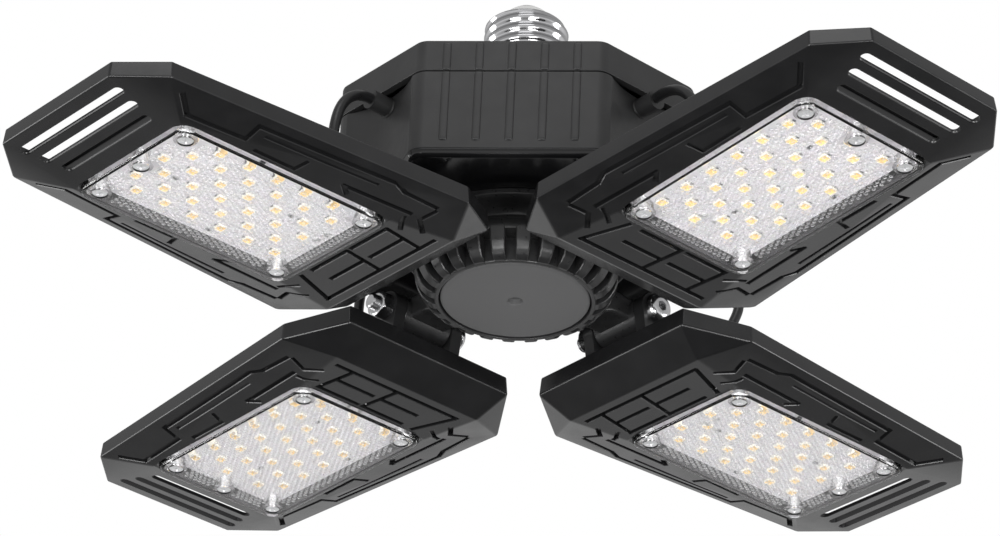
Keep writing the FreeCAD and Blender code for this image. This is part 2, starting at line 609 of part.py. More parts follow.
def heat_sink_shape(blade):
    """finned back plate with the two hinge ears"""
    zp, t = z_plate.v, plate_thick.v
    c = 0.5
    k = frame_wall.v + 0.5 + c
    pts = [(PLATE_END, 0), (PLATE_END, 26.0), (PLATE_END - 6, 32.0), (u_ic.v + 0.45 * k, v_ic.v - k), (u_ie.v + k, v_ie.v - 0.55 * k)]
    poly = [V(x, y, zp) for x, y in pts[1:]] + [V(x, -y, zp) for x, y in reversed(pts[1:])]
    plate = Part.Face(Part.makePolygon(poly + poly[:1])).extrude(V(0, 0, t))
    adds = []
    n = 9
    for i in range(n):
        v = -28.0 + 7.0 * i
        u0 = 58.0
        u1 = 144.0 - (6.0 if abs(v) > 25 else 0.0)
        if abs(v) < 4.0:
            u0 = GROM[blade] + 7.0
        adds.append(Part.makeBox(u1 - u0, 1.8, z_skirt.v - zp - t + 0.1, V(u0, v - 0.9, zp + t - 0.1)))
    e0 = barrel_half.v + ear_gap.v
    for y in (e0, -e0 - ear_thick.v):
        leg = [V(41.6, y, zp + 0.3), V(51.8, y, zp + 0.3), V(51.8, y, zp + t + 2.0), V(hinge_dist.v + barrel_radius.v, y, z_hinge.v),
               V(hinge_dist.v - barrel_radius.v, y, z_hinge.v), V(41.6, y, zp + t + 3.0)]
        ear = Part.Face(Part.makePolygon(leg + leg[:1])).extrude(V(0, ear_thick.v, 0))
        ear = ear.fuse(Part.makeCylinder(barrel_radius.v, ear_thick.v, V(hinge_dist.v, y, z_hinge.v), V(0, 1, 0)))
        adds.append(ear)
    s = plate.fuse(adds)
    s = s.cut(Part.makeCylinder(pin_radius.v, 60, V(hinge_dist.v, -30, z_hinge.v), V(0, 1, 0)))
    for x, y in SCREWS:
        s = s.cut(Part.makeCylinder(1.25, 8, V(x, y, zp - 3)))
    s = s.cut(Part.makeCylinder(2.6, 8, V(GROM[blade], 0, zp - 3)))
    return s.removeSplitter()


def box_ring(x0, x1, y, r, z0, z1, inset):
    o_ = Part.makeBox(x1 - x0, 2 * y, z1 - z0, V(x0, -y, z0))
    o_ = o_.makeFillet(r, [e for e in o_.Edges if abs(e.tangentAt(0).z) > 0.9])
    i_ = Part.makeBox(x1 - x0 - 2 * inset, 2 * (y - inset), z1 - z0 + 2, V(x0 + inset, -y + inset, z0 - 1))
    i_ = i_.makeFillet(max(r - inset, 0.4), [e for e in i_.Edges if abs(e.tangentAt(0).z) > 0.9])
    return o_.cut(i_)


def lens_shape():
    """clear cover: tray with a flange inside the bezel and five screw posts"""
    x0, x1, y = lens_in.v, lens_in.v + lens_len.v, lens_half.v
    r, t = lens_corner.v, lens_thick.v
    tray = Part.makeBox(x1 - x0, 2 * y, z_flange.v + flange_thick.v - z_lens.v, V(x0, -y, z_lens.v))
    tray = tray.makeFillet(r, [e for e in tray.Edges if abs(e.tangentAt(0).z) > 0.9])
    tray = tray.makeFillet(0.7, [e for e in tray.Edges if abs(e.BoundBox.ZMax - z_lens.v) < 1e-6])
    fw = flange_wide.v
    fl = Part.makeBox(x1 - x0 + 2 * fw, 2 * (y + fw), flange_thick.v, V(x0 - fw, -y - fw, z_flange.v))
    fl = fl.makeFillet(r + fw - 1, [e for e in fl.Edges if abs(e.tangentAt(0).z) > 0.9])
    s = tray.fuse(fl)
    hollow = Part.makeBox(x1 - x0 - 2 * t, 2 * (y - t), 10, V(x0 + t, -y + t, z_lens.v + t))
    hollow = hollow.makeFillet(r - t, [e for e in hollow.Edges if abs(e.tangentAt(0).z) > 0.9])
    s = s.cut(hollow)
    top = z_pcb.v
    for x, y_ in SCREWS:
        s = s.fuse(Part.makeCylinder(2.9, top - z_lens.v - 0.5, V(x, y_, z_lens.v + 0.5)))
    for x, y_ in SCREWS:
        s = s.cut(Part.makeCylinder(1.35, 12, V(x, y_, z_lens.v - 1)))
        s = s.cut(Part.makeCylinder(2.4, 1.6, V(x, y_, z_lens.v - 0.4)))
    return s.removeSplitter()


def lens_screw_shape():
    out = []
    for x, y in SCREWS:
        s = Part.makeCylinder(2.3, 1.0, V(x, y, z_lens.v + 0.2)).fuse(Part.makeCylinder(1.25, z_plate.v + 1.6 - z_lens.v - 1.2, V(x, y, z_lens.v + 1.2)))
        s = s.removeSplitter()
        s = s.cut(Part.makeBox(2.8, 0.6, 0.5, V(x - 1.4, y - 0.3, z_lens.v + 0.2)).fuse(Part.makeBox(0.6, 2.8, 0.5, V(x - 0.3, y - 1.4, z_lens.v + 0.2))))
        out.append(s)
    return Part.makeCompound(out)


def led_shape():
    """emitters in staggered rows"""
    out = []
    top = z_pcb.v
    cu = lens_in.v + lens_len.v / 2 - 0.5
    for r in range(6):
        n = 6
        for i in range(n):
            u = cu + (i - (n - 1) / 2.0) * 10.0 + (2.5 if r % 2 else -2.5)
            v = (r - 2.5) * 6.4
            out.append(Part.makeBox(2.8, 2.8, 0.7, V(u - 1.4, v - 1.4, top - 0.7)))
    return Part.makeCompound(out)


def xf(blade, u, z):
    """a point of the blade's middle plane after its rest tilt"""
    t = math.radians(TILT[blade])
    du, dz = u - hinge_dist.v, z - z_hinge.v
    return hinge_dist.v + du * math.cos(t) - dz * math.sin(t), z_hinge.v + du * math.sin(t) + dz * math.cos(t)


# cable routes in each blade's radial plane (distance from the axis, height)
ROUTE = {
    "a": [(45.0, -14.0), (56.5, -14.0), (63.4, -14.4), (68.9, -17.8), (72.5, -23.4), (74.0, -30.4), (74.0, -38.2), (71.8, -46.2), (69.94, -53.2)],
    "b": [(45.0, -14.0), (56.5, -14.0), (64.2, -13.6), (71.6, -16.4), (77.4, -22.2), (81.0, -29.8), (82.0, -38.4), (79.8, -46.6), (77.5, -53.2)],
    "c": [(45.0, -14.0), (56.5, -14.0), (63.2, -14.6), (68.4, -18.2), (71.9, -24.0), (73.4, -30.9), (73.4, -38.6), (71.5, -46.4), (69.92, -53.2)],
    "d": [(45.0, -14.0), (56.5, -14.0), (64.6, -13.0), (73.0, -11.2), (81.8, -11.8), (88.8, -16.0), (91.4, -23.4), (88.6, -31.2), (84.0, -38.8), (79.9, -46.4), (78.0, -53.2)],
}
LEAN = {"a": 2.0, "b": -2.5, "c": 1.5, "d": -3.0}   # the loop leans a little to one side


def cable_points(blade):
    pts = [list(p) for p in ROUTE[blade]]
    end = xf(blade, GROM[blade], z_plate.v + 0.2)
    n = len(pts)
    out = []
    for i, (r, z) in enumerate(pts):
        f = math.sin(math.pi * min(max((i - 1.0) / (n - 2.0), 0.0), 1.0))
        out.append(V(r, LEAN[blade] * f, z))
    out.append(V(end[0], 0, end[1]))
    return out


def cable_shape(blade):
    pts = cable_points(blade)
    rad = cable_dia.v / 2
    edges = []
    at = pts[0]
    radii = []
    for i in range(1, len(pts) - 1):
        a, b_, c = pts[i - 1], pts[i], pts[i + 1]
        d1 = (b_ - a)
        d2 = (c - b_)
        run = min(d1.Length, d2.Length)
        d1.normalize()
        d2.normalize()
        turn = math.acos(max(-1, min(1, d1.dot(d2))))
        R = 0.45 * run / math.tan(turn / 2)
        radii.append(R)
        p = b_ - d1 * (0.45 * run)
        q = b_ + d2 * (0.45 * run)
        bis = (d2 - d1)
        bis.normalize()
        mid = b_ + bis * (R / math.cos(turn / 2) - R)
        edges.append(Part.LineSegment(at, p).toShape())
        edges.append(Part.Arc(p, mid, q).toShape())
        at = q
    edges.append(Part.LineSegment(at, pts[-1]).toShape())
    path = Part.Wire(edges)
    d0 = pts[1] - pts[0]
    prof = Part.Wire([Part.makeCircle(rad, pts[0], d0)])
    tube = path.makePipeShell([prof], True, True)
    want = math.pi * rad * rad * path.Length
    print("cable %s: length %.1f mm, radii %s, volume %.1f of %.1f" % (blade, path.Length, " ".join("%.0f" % r for r in radii), tube.Volume, want))
    if abs(tube.Volume - want) > 0.02 * want:
        raise RuntimeError("cable volume is off")
    return tube


frame_solid = frame_shape()
lens_solid = lens_shape()
screw_solid = lens_screw_shape()
led_solid = led_shape()
gasket_x0 = lens_in.v - flange_wide.v
for blade in "abcd":
    o = doc.addObject("Part::Feature", "blade_%s_frame" % blade)
    o.Shape = frame_solid.copy()
    keep(o, "blade_%s_frame" % blade, blade)
    o = doc.addObject("Part::Feature", "blade_%s_heat_sink" % blade)
    o.Shape = heat_sink_shape(blade)
    keep(o, "blade_%s_heat_sink" % blade, blade)
    o = doc.addObject("Part::Feature", "blade_%s_lens" % blade)
    o.Shape = lens_solid.copy()
    keep(o, "blade_%s_lens" % blade, blade)
    o = doc.addObject("Part::Feature", "blade_%s_lens_screws" % blade)
    o.Shape = screw_solid.copy()
    keep(o, "blade_%s_lens_screws" % blade, blade)
    o = doc.addObject("Part::Feature", "blade_%s_leds" % blade)
    o.Shape = led_solid.copy()
    keep(o, "blade_%s_leds" % blade, blade)
    # circuit board behind the lens
    b = new_body("blade_%s_led_board" % blade)
    m = 2.0
    sk = sketch(b, "led_board_outline_" + blade, offset=z_pcb, polys=[[
        (lens_in + m, -lens_half + m), (lens_in + lens_len - m, -lens_half + m), (lens_in + lens_len - m, lens_half - m), (lens_in + m, lens_half - m)]])
    pad(b, "led_board_block_" + blade, sk, z_plate - z_pcb - 0.05)
    doc.recompute()
    sk = sketch(b, "led_board_holes_" + blade, offset=z_pcb - 1.0, circles=[(x, y, 1.7) for x, y in SCREWS] + [(GROM[blade] + 4.0, 0, 1.5)])
    pocket(b, "led_board_cuts_" + blade, sk, 4.0)
    keep(b, "blade_%s_led_board" % blade, blade)
    # silicone seal between the lens flange and the back plate
    b = new_body("blade_%s_lens_gasket" % blade)
    fw = flange_wide
    sk = sketch(b, "gasket_outline_" + blade, offset=z_flange + flange_thick, polys=[
        [(lens_in - fw, -lens_half - fw), (lens_in + lens_len + fw, -lens_half - fw), (lens_in + lens_len + fw, lens_half + fw), (lens_in - fw, lens_half + fw)],
        [(lens_in - 0.2, -lens_half - 0.2), (lens_in + lens_len + 0.2, -lens_half - 0.2), (lens_in + lens_len + 0.2, lens_half + 0.2), (lens_in - 0.2, lens_half + 0.2)]])
    pad(b, "gasket_block_" + blade, sk, z_plate - z_flange - flange_thick)
    keep(b, "blade_%s_lens_gasket" % blade, blade)
    # hinge bolt, a turned pin with a pan head, and its nut
    e1 = barrel_half + ear_gap + ear_thick
    b = new_body("hinge_%s_bolt" % blade)
    revolve(b, "bolt_turn_" + blade, [(0, -e1 - 3.2), (2.6, -e1 - 3.2), (4.2, -e1 - 2.2), (4.6, -e1 - 1.0), (4.6, -e1), (pin_radius, -e1), (pin_radius, e1 + 5.6), (pin_radius - 0.6, e1 + 6.3), (0, e1 + 6.3)])
    keep(b, "hinge_%s_bolt" % blade, blade)
    hp = FreeCAD.Placement(V(hinge_dist.v, 0, z_hinge.v), FreeCAD.Rotation(V(1, 0, 0), -90))
    b.Placement = b.Placement.multiply(hp)
    b = new_body("hinge_%s_nut" % blade)
    s3 = 4.62
    hexa = [(s3 * round(math.cos(math.radians(60 * i)), 9), s3 * round(math.sin(math.radians(60 * i)), 9)) for i in range(6)]
    sk = sketch(b, "nut_outline_" + blade, offset=e1, polys=[hexa], circles=[(0, 0, pin_radius)])
    pad(b, "nut_block_" + blade, sk, 4.0)
    keep(b, "hinge_%s_nut" % blade, blade)
    b.Placement = b.Placement.multiply(hp)
    # rubber grommet where the cable enters the back plate
    b = new_body("blade_%s_grommet" % blade)
    rc = cable_dia * 0.5 + 0.15
    zp = z_plate
    revolve(b, "grommet_turn_" + blade, [(rc, zp + 0.1), (2.58, zp + 0.1), (2.58, zp + plate_thick), (4.4, zp + plate_thick), (4.4, zp + plate_thick + 0.9), (2.7, zp + plate_thick + 3.2), (rc, zp + plate_thick + 3.2)])
    keep(b, "blade_%s_grommet" % blade, blade)
    b.Placement = b.Placement.multiply(FreeCAD.Placement(V(GROM[blade], 0, 0), FreeCAD.Rotation()))
    # the supply cable from the housing to the blade
    o = doc.addObject("Part::Feature", "cable_%s" % blade)
    o.Shape = cable_shape(blade)
    keep(o, "cable_%s" % blade)
    o.Placement = FreeCAD.Placement(V(0, 0, -neck_height.v), FreeCAD.Rotation(V(0, 0, 1), BLADES[blade]))

# ---------------------------------------------------------------- checks and files
doc.recompute()
for o in doc.Objects:
    if "Invalid" in o.State or "Error" in o.State:
        raise RuntimeError("object %s (%s) failed: %s" % (o.Name, o.Label, o.State))
total = 0
for label, o in parts:
    s = o.Shape
    if s.isNull() or not s.isValid():
        raise RuntimeError("shape of %s is null or not valid" % label)
    if not s.Solids:
        raise RuntimeError("no solid in %s" % label)
    bb = s.BoundBox
    print("%-24s solids %2d vol %9.1f  x %.1f..%.1f y %.1f..%.1f z %.1f..%.1f" % (label, len(s.Solids), s.Volume, bb.XMin, bb.XMax, bb.YMin, bb.YMax, bb.ZMin, bb.ZMax))
    total += 1
if len({label for label, _ in parts}) != len(parts) or total > 60:
    raise RuntimeError("bad list of parts")
os.makedirs("parts", exist_ok=True)
for label, o in parts:
    o.Shape.exportStep("parts/%s.step" % label)
print("parts", total)
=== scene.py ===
import math
import random
import bpy
import bmesh
from mathutils import Vector, Matrix


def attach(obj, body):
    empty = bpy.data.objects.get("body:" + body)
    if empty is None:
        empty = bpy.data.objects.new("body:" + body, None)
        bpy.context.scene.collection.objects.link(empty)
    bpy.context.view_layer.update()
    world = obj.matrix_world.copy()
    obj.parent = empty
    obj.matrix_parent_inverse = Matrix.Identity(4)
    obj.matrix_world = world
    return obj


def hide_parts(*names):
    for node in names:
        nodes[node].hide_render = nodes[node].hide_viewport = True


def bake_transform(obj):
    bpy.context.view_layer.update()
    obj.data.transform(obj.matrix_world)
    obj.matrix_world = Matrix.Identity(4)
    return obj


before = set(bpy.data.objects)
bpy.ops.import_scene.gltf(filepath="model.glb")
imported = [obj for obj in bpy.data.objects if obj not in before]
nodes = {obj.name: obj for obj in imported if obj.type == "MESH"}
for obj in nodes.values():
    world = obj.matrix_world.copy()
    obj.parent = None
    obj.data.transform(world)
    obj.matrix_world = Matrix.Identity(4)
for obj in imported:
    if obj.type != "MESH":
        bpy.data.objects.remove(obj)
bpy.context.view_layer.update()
scene = bpy.context.scene
MM = 0.001
NECK = 19.0                      # housing top to the shoulder of the screw shell
BLADES = {"a": 225.0, "b": 315.0, "c": 135.0, "d": 45.0}
TILT = {"a": -0.7, "b": 4.45, "c": -0.9, "d": 0.0}
HINGE_U, HINGE_Z = 45.0, -48.0
# heights below are measured from the housing's flat top, in millimetres


# ------------------------------------------------------------------ camera
def make_camera():
    el, az, roll = math.radians(-32.07), math.radians(4.24), math.radians(2.45)
    f, cx, cy, dist = 3902.99, 522.16, 135.7, 1195.15
    d = Vector((math.sin(az) * math.cos(el), -math.cos(az) * math.cos(el), math.sin(el)))
    pos = d * dist - Vector((0, 0, NECK))
    fwd = -d
    right = fwd.cross(Vector((0, 0, 1))).normalized()
    up = right.cross(fwd)
    r2 = math.cos(roll) * right + math.sin(roll) * up
    u2 = -math.sin(roll) * right + math.cos(roll) * up
    aim = (f * fwd + (500 - cx) * r2 + (cy - 268) * u2).normalized()
    rx = (r2 - r2.dot(aim) * aim).normalized()
    uy = rx.cross(aim)
    cam = bpy.data.cameras.new("camera")
    cam.sensor_width = 36.0
    cam.lens = f * 36.0 / 1000.0
    cam.clip_start, cam.clip_end = 0.05, 60.0
    ob = bpy.data.objects.new("camera", cam)
    m = Matrix((rx, uy, -aim)).transposed().to_4x4()
    m.translation = pos * MM
    ob.matrix_world = m
    scene.collection.objects.link(ob)
    scene.camera = ob
    return ob


camera = make_camera()


def blade_matrix(k):
    """the blade's own millimetres to metres in the row frame"""
    h = Vector((HINGE_U, 0, HINGE_Z))
    m = Matrix.Translation((0, 0, -NECK)) @ Matrix.Rotation(math.radians(BLADES[k]), 4, "Z")
    m = m @ Matrix.Translation(h) @ Matrix.Rotation(math.radians(-TILT[k]), 4, "Y") @ Matrix.Translation(-h)
    return Matrix.Scale(MM, 4) @ m


def arm_matrix(k):
    return Matrix.Scale(MM, 4) @ Matrix.Translation((0, 0, -NECK)) @ Matrix.Rotation(math.radians(BLADES[k]), 4, "Z")


ROOT = Matrix.Scale(MM, 4) @ Matrix.Translation((0, 0, -NECK))
TOP = Matrix.Scale(MM, 4)        # for the screw base, whose heights start at the shoulder


# ------------------------------------------------------------------ materials
def principled(name):
    m = bpy.data.materials.new(name)
    m.use_nodes = True
    nt = m.node_tree
    return m, nt, nt.nodes["Principled BSDF"]


def surface(name, base, rough, metallic=0.0, ior=1.5, vary=0.12, vscale=60.0, rspan=0.06, rscale=90.0,
            bump=0.1, bscale=2500.0, bdist=0.00005, coat=0.0, coat_rough=0.1, stretch=None, unit=MM):
    """scales are per metre; unit is the size of the mesh's own unit"""
    vscale, rscale, bscale = vscale * unit, rscale * unit, bscale * unit
    m, nt, bsdf = principled(name)
    N, L = nt.nodes, nt.links
    tc = N.new("ShaderNodeTexCoord")
    vec = tc.outputs["Object"]
    if stretch:
        mp = N.new("ShaderNodeMapping")
        mp.inputs["Scale"].default_value = stretch
        L.new(vec, mp.inputs["Vector"])
        vec = mp.outputs["Vector"]
    n1 = N.new("ShaderNodeTexNoise")
    n1.inputs["Scale"].default_value = vscale
    n1.inputs["Detail"].default_value = 3.0
    L.new(vec, n1.inputs["Vector"])
    ramp = N.new("ShaderNodeValToRGB")
    lo = [max(0.0, c * (1 - vary)) for c in base]
    hi = [min(1.0, c * (1 + vary)) for c in base]
    ramp.color_ramp.elements[0].position = 0.3
    ramp.color_ramp.elements[0].color = (*lo, 1)
    ramp.color_ramp.elements[1].position = 0.7
    ramp.color_ramp.elements[1].color = (*hi, 1)
    L.new(n1.outputs["Fac"], ramp.inputs["Fac"])
    col = ramp.outputs["Color"]
    L.new(col, bsdf.inputs["Base Color"])
    n2 = N.new("ShaderNodeTexNoise")
    n2.inputs["Scale"].default_value = rscale
    n2.inputs["Detail"].default_value = 4.0
    L.new(vec, n2.inputs["Vector"])
    mr = N.new("ShaderNodeMapRange")
    mr.inputs["From Min"].default_value = 0.3
    mr.inputs["From Max"].default_value = 0.7
    mr.inputs["To Min"].default_value = max(0.02, rough - rspan)
    mr.inputs["To Max"].default_value = min(1.0, rough + rspan)
    L.new(n2.outputs["Fac"], mr.inputs["Value"])
    L.new(mr.outputs["Result"], bsdf.inputs["Roughness"])
    n3 = N.new("ShaderNodeTexNoise")
    n3.inputs["Scale"].default_value = bscale
    n3.inputs["Detail"].default_value = 2.0
    L.new(vec, n3.inputs["Vector"])
    bp = N.new("ShaderNodeBump")
    bp.inputs["Strength"].default_value = bump
    bp.inputs["Distance"].default_value = bdist
    L.new(n3.outputs["Fac"], bp.inputs["Height"])
    L.new(bp.outputs["Normal"], bsdf.inputs["Normal"])
    bsdf.inputs["Metallic"].default_value = metallic
    bsdf.inputs["IOR"].default_value = ior
    bsdf.inputs["Coat Weight"].default_value = coat
    bsdf.inputs["Coat Roughness"].default_value = coat_rough
    return m


FRAME_BLACK = surface("blade_paint", (0.012, 0.012, 0.0125), 0.22, vary=0.15, vscale=60.0, rspan=0.05, rscale=120.0, bump=0.10, bscale=1700.0, unit=1.0)
HUB_BLACK = surface("hub_powder_coat", (0.020, 0.020, 0.0205), 0.32, vary=0.18, vscale=300.0, rspan=0.06, rscale=600.0, bump=0.20, bscale=1900.0)
CAP_BLACK = surface("cap_powder_coat", (0.105, 0.105, 0.106), 0.55, vary=0.06, vscale=900.0, rspan=0.06, rscale=900.0, bump=0.45, bscale=2300.0, bdist=0.00008)
HOUSING_BLACK = surface("housing_moulding", (0.022, 0.022, 0.0225), 0.44, vary=0.10, vscale=120.0, rspan=0.05, rscale=260.0, bump=0.25, bscale=2400.0, bdist=0.00005)
BASE_BLACK = surface("base_gloss_moulding", (0.006, 0.006, 0.0065), 0.15, vary=0.1, rspan=0.04, bump=0.05, bscale=900.0)
SINK_BLACK = surface("sink_coat", (0.014, 0.014, 0.0145), 0.36, vary=0.15, vscale=200.0, rspan=0.08, bump=0.2, bscale=1600.0, unit=1.0)
NICKEL = surface("shell_nickel", (0.52, 0.52, 0.53), 0.10, metallic=1.0, vary=0.05, vscale=120.0, rspan=0.04, rscale=260.0, bump=0.06, bscale=500.0)
INSULATOR = surface("insulator_moulding", (0.80, 0.80, 0.79), 0.30, vary=0.05, rspan=0.05, bump=0.1, bscale=900.0)
TIN = surface("contact_tin", (0.82, 0.81, 0.80), 0.26, metallic=1.0, vary=0.08, vscale=500.0, rspan=0.08, bump=0.2, bscale=1200.0)
SCREW_ZINC = surface("bright_zinc", (0.86, 0.86, 0.87), 0.40, metallic=0.6, vary=0.06, vscale=350.0, rspan=0.08, bump=0.1, bscale=1500.0)
STEEL = surface("zinc_plated_steel", (0.66, 0.66, 0.67), 0.20, metallic=1.0, vary=0.10, vscale=350.0, rspan=0.08, bump=0.15, bscale=1500.0)
DARK_STEEL = surface("black_zinc_steel", (0.05, 0.05, 0.052), 0.30, metallic=0.8, vary=0.12, vscale=350.0, rspan=0.08, bump=0.15, bscale=1500.0, unit=1.0)
RUBBER = surface("black_silicone", (0.012, 0.012, 0.012), 0.5, vary=0.15, rspan=0.08, bump=0.3, bscale=1800.0, unit=1.0)
CABLE = surface("cable_sheath", (0.010, 0.010, 0.0105), 0.34, vary=0.15, vscale=180.0, rspan=0.08, rscale=300.0, bump=0.2, bscale=900.0, unit=1.0)
LED_WHITE = surface("led_package", (0.86, 0.82, 0.72), 0.35, vary=0.05, vscale=400.0, rspan=0.06, bump=0.1, bscale=2000.0)
PHOSPHOR = surface("led_phosphor", (0.96, 0.62, 0.22), 0.30, vary=0.10, vscale=700.0, rspan=0.08, bump=0.2, bscale=2000.0)
SOLDER = surface("solder_pad", (0.70, 0.70, 0.70), 0.35, metallic=1.0, vary=0.12, vscale=900.0, bump=0.3, bscale=1500.0)
# dark chip bodies, also used for the painted shadow block beside each LED
CHIP_BODY_AND_PAINTED_SHADOW = surface("chip_body_and_painted_shadow", (0.05, 0.05, 0.055), 0.45, vary=0.2, vscale=900.0, bump=0.2, bscale=2000.0)
GREEN = surface("driver_board_mask", (0.02, 0.12, 0.045), 0.35, vary=0.2, vscale=150.0, bump=0.1, bscale=900.0, unit=1.0)
FERRITE = surface("ferrite_core", (0.05, 0.047, 0.045), 0.6, vary=0.2, vscale=400.0, bump=0.4, bscale=1200.0, unit=1.0)
SLEEVE = surface("capacitor_sleeve", (0.03, 0.035, 0.12), 0.3, vary=0.12, vscale=100.0, bump=0.1, bscale=700.0, unit=1.0)


def board_material():
    """white solder mask over a faint copper pattern"""
    m, nt, bsdf = principled("board_mask")
    N, L = nt.nodes, nt.links
    tc = N.new("ShaderNodeTexCoord")
    br = N.new("ShaderNodeTexBrick")
    br.inputs["Scale"].default_value = 1.0
    br.inputs["Brick Width"].default_value = 10.0
    br.inputs["Row Height"].default_value = 6.4
    br.inputs["Mortar Size"].default_value = 0.32
    br.inputs["Mortar Smooth"].default_value = 0.2
    br.inputs["Color1"].default_value = (0.60, 0.58, 0.605, 1)
    br.inputs["Color2"].default_value = (0.64, 0.62, 0.645, 1)
    br.inputs["Mortar"].default_value = (0.50, 0.48, 0.51, 1)
    L.new(tc.outputs["Object"], br.inputs["Vector"])
    no = N.new("ShaderNodeTexNoise")
    no.inputs["Scale"].default_value = 0.35
    L.new(tc.outputs["Object"], no.inputs["Vector"])
    mx = N.new("ShaderNodeMix")
    mx.data_type = "RGBA"
    mx.blend_type = "MULTIPLY"
    mx.inputs["Factor"].default_value = 0.15
    L.new(br.outputs["Color"], mx.inputs["A"])
    L.new(no.outputs["Color"], mx.inputs["B"])
    L.new(mx.outputs["Result"], bsdf.inputs["Base Color"])
    bp = N.new("ShaderNodeBump")
    bp.inputs["Strength"].default_value = 0.3
    bp.inputs["Distance"].default_value = 0.00003
    L.new(br.outputs["Fac"], bp.inputs["Height"])
    L.new(bp.outputs["Normal"], bsdf.inputs["Normal"])
    bsdf.inputs["Roughness"].default_value = 0.38
    return m


def clear(name, alpha, rough, tint=(1, 1, 1), bump=0.0, bscale=0.6):
    m, nt, bsdf = principled(name)
    N, L = nt.nodes, nt.links
    bsdf.inputs["Base Color"].default_value = (*tint, 1)
    bsdf.inputs["Transmission Weight"].default_value = 1.0
    bsdf.inputs["IOR"].default_value = 1.49
    bsdf.inputs["Alpha"].default_value = alpha
    tc = N.new("ShaderNodeTexCoord")
    no = N.new("ShaderNodeTexNoise")
    no.inputs["Scale"].default_value = bscale
    no.inputs["Detail"].default_value = 2.0
    L.new(tc.outputs["Object"], no.inputs["Vector"])
    mr = N.new("ShaderNodeMapRange")
    mr.inputs["To Min"].default_value = rough * 0.6
    mr.inputs["To Max"].default_value = rough * 1.4
    L.new(no.outputs["Fac"], mr.inputs["Value"])
    L.new(mr.outputs["Result"], bsdf.inputs["Roughness"])
    if bump:
        bp = N.new("ShaderNodeBump")
        bp.inputs["Strength"].default_value = bump
        bp.inputs["Distance"].default_value = 0.0001
        L.new(no.outputs["Fac"], bp.inputs["Height"])
        L.new(bp.outputs["Normal"], bsdf.inputs["Normal"])
    return m


BOARD = board_material()
LENS = clear("cover_clear", 1.0, 0.02, bscale=600.0)
DOME = clear("cover_prisms", 0.13, 0.04)
# painted highlight: a pale, part-opaque band on each dome's outer slope stands in for the bright rings that refraction
# and reflection at the dome edges give
PRISM_RING_PAINTED_HIGHLIGHT = surface("prism_ring_painted_highlight", (0.72, 0.72, 0.73), 0.25, vary=0.03, vscale=200.0, rspan=0.05, bump=0.05, bscale=900.0)
PRISM_RING_PAINTED_HIGHLIGHT.node_tree.nodes["Principled BSDF"].inputs["Alpha"].default_value = 0.34
BOSS = clear("cover_bosses", 0.55, 0.04)


# ------------------------------------------------------------------ mesh helpers
class Acc:
    """collects closed pieces into one mesh"""

    def __init__(self):
        self.v, self.f, self.m = [], [], []

    def add(self, verts, faces, mat=0, T=None):
        n = len(self.v)
        if T is None:
            self.v += [Vector(p) for p in verts]
        else:
            self.v += [T @ Vector(p) for p in verts]
        self.f += [tuple(n + i for i in f) for f in faces]
        self.m += [mat] * len(faces)
        return self

    def mesh(self, name, mats=(), angle=35.0):
        me = bpy.data.meshes.new(name)
        me.from_pydata([tuple(p) for p in self.v], [], self.f)
        bm = bmesh.new()
        bm.from_mesh(me)
        for f, mi in zip(bm.faces, self.m):
            f.material_index = mi
        bmesh.ops.recalc_face_normals(bm, faces=bm.faces)
        bm.to_mesh(me)
        bm.free()
        for m in mats:
            me.materials.append(m)
        shade(me, angle)
        return me


def shade(me, angle):
    me.polygons.foreach_set("use_smooth", [True] * len(me.polygons))
    me.set_sharp_from_angle(angle=math.radians(angle))


def loft(loops, cap0=True, cap1=True, ring=False):
    n = len(loops[0])
    v = [p for lp in loops for p in lp]
    f = []
    m = len(loops)
    for i in range(m if ring else m - 1):
        a, b = i * n, ((i + 1) % m) * n
        for j in range(n):
            k = (j + 1) % n
            f.append((a + j, a + k, b + k, b + j))
    if not ring:
        if cap0:
            f.append(tuple(reversed(range(n))))
        if cap1:
            f.append(tuple(range((m - 1) * n, m * n)))
    return v, f


def turn(profile, n=64, ring=True, axis="z"):
    """revolved closed profile of (r, z); points with r near 0 are joined at the axis"""
    v, f = [], []
    idx = []
    for r, z in profile:
        if r < 1e-6:
            idx.append([len(v)] * n)
            v.append((0, 0, z))
        else:
            idx.append(list(range(len(v), len(v) + n)))
            for j in range(n):
                a = 2 * math.pi * j / n
                v.append((r * math.cos(a), r * math.sin(a), z))
    m = len(profile)
    for i in range(m if ring else m - 1):
        a, b = idx[i], idx[(i + 1) % m]
        for j in range(n):
            k = (j + 1) % n
            q = [a[j], a[k], b[k], b[j]]
            q = [x for t, x in enumerate(q) if x not in q[:t]]
            if len(q) > 2:
                f.append(tuple(q))
    return v, f


def piece(name, me, body, replaces=(), matrix=None, bevel=0.0, seg=2, blimit=30.0, wn=True):
    ob = bpy.data.objects.new(name, me)
    scene.collection.objects.link(ob)
    if matrix is not None:
        ob.matrix_world = matrix
    if bevel:
        b = ob.modifiers.new("edge", "BEVEL")
        b.width = bevel
        b.segments = seg
        b.limit_method = "ANGLE"
        b.angle_limit = math.radians(blimit)
        b.use_clamp_overlap = True
        b.harden_normals = False
    if wn:
        w = ob.modifiers.new("normals", "WEIGHTED_NORMAL")
        w.keep_sharp = True
        w.weight = 80
    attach(ob, body)
    if replaces:
        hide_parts(*replaces)
    return ob


def rrect(x0, x1, y, r, z, n=6):
    """rounded rectangle in plan, counter-clockwise"""
    pts = []
    for cx, cy, a0 in ((x1 - r, -y + r, -90), (x1 - r, y - r, 0), (x0 + r, y - r, 90), (x0 + r, -y + r, 180)):
        for i in range(n + 1):
            a = math.radians(a0 + 90.0 * i / n)
            pts.append((cx + r * math.cos(a), cy + r * math.sin(a), z))
    return pts


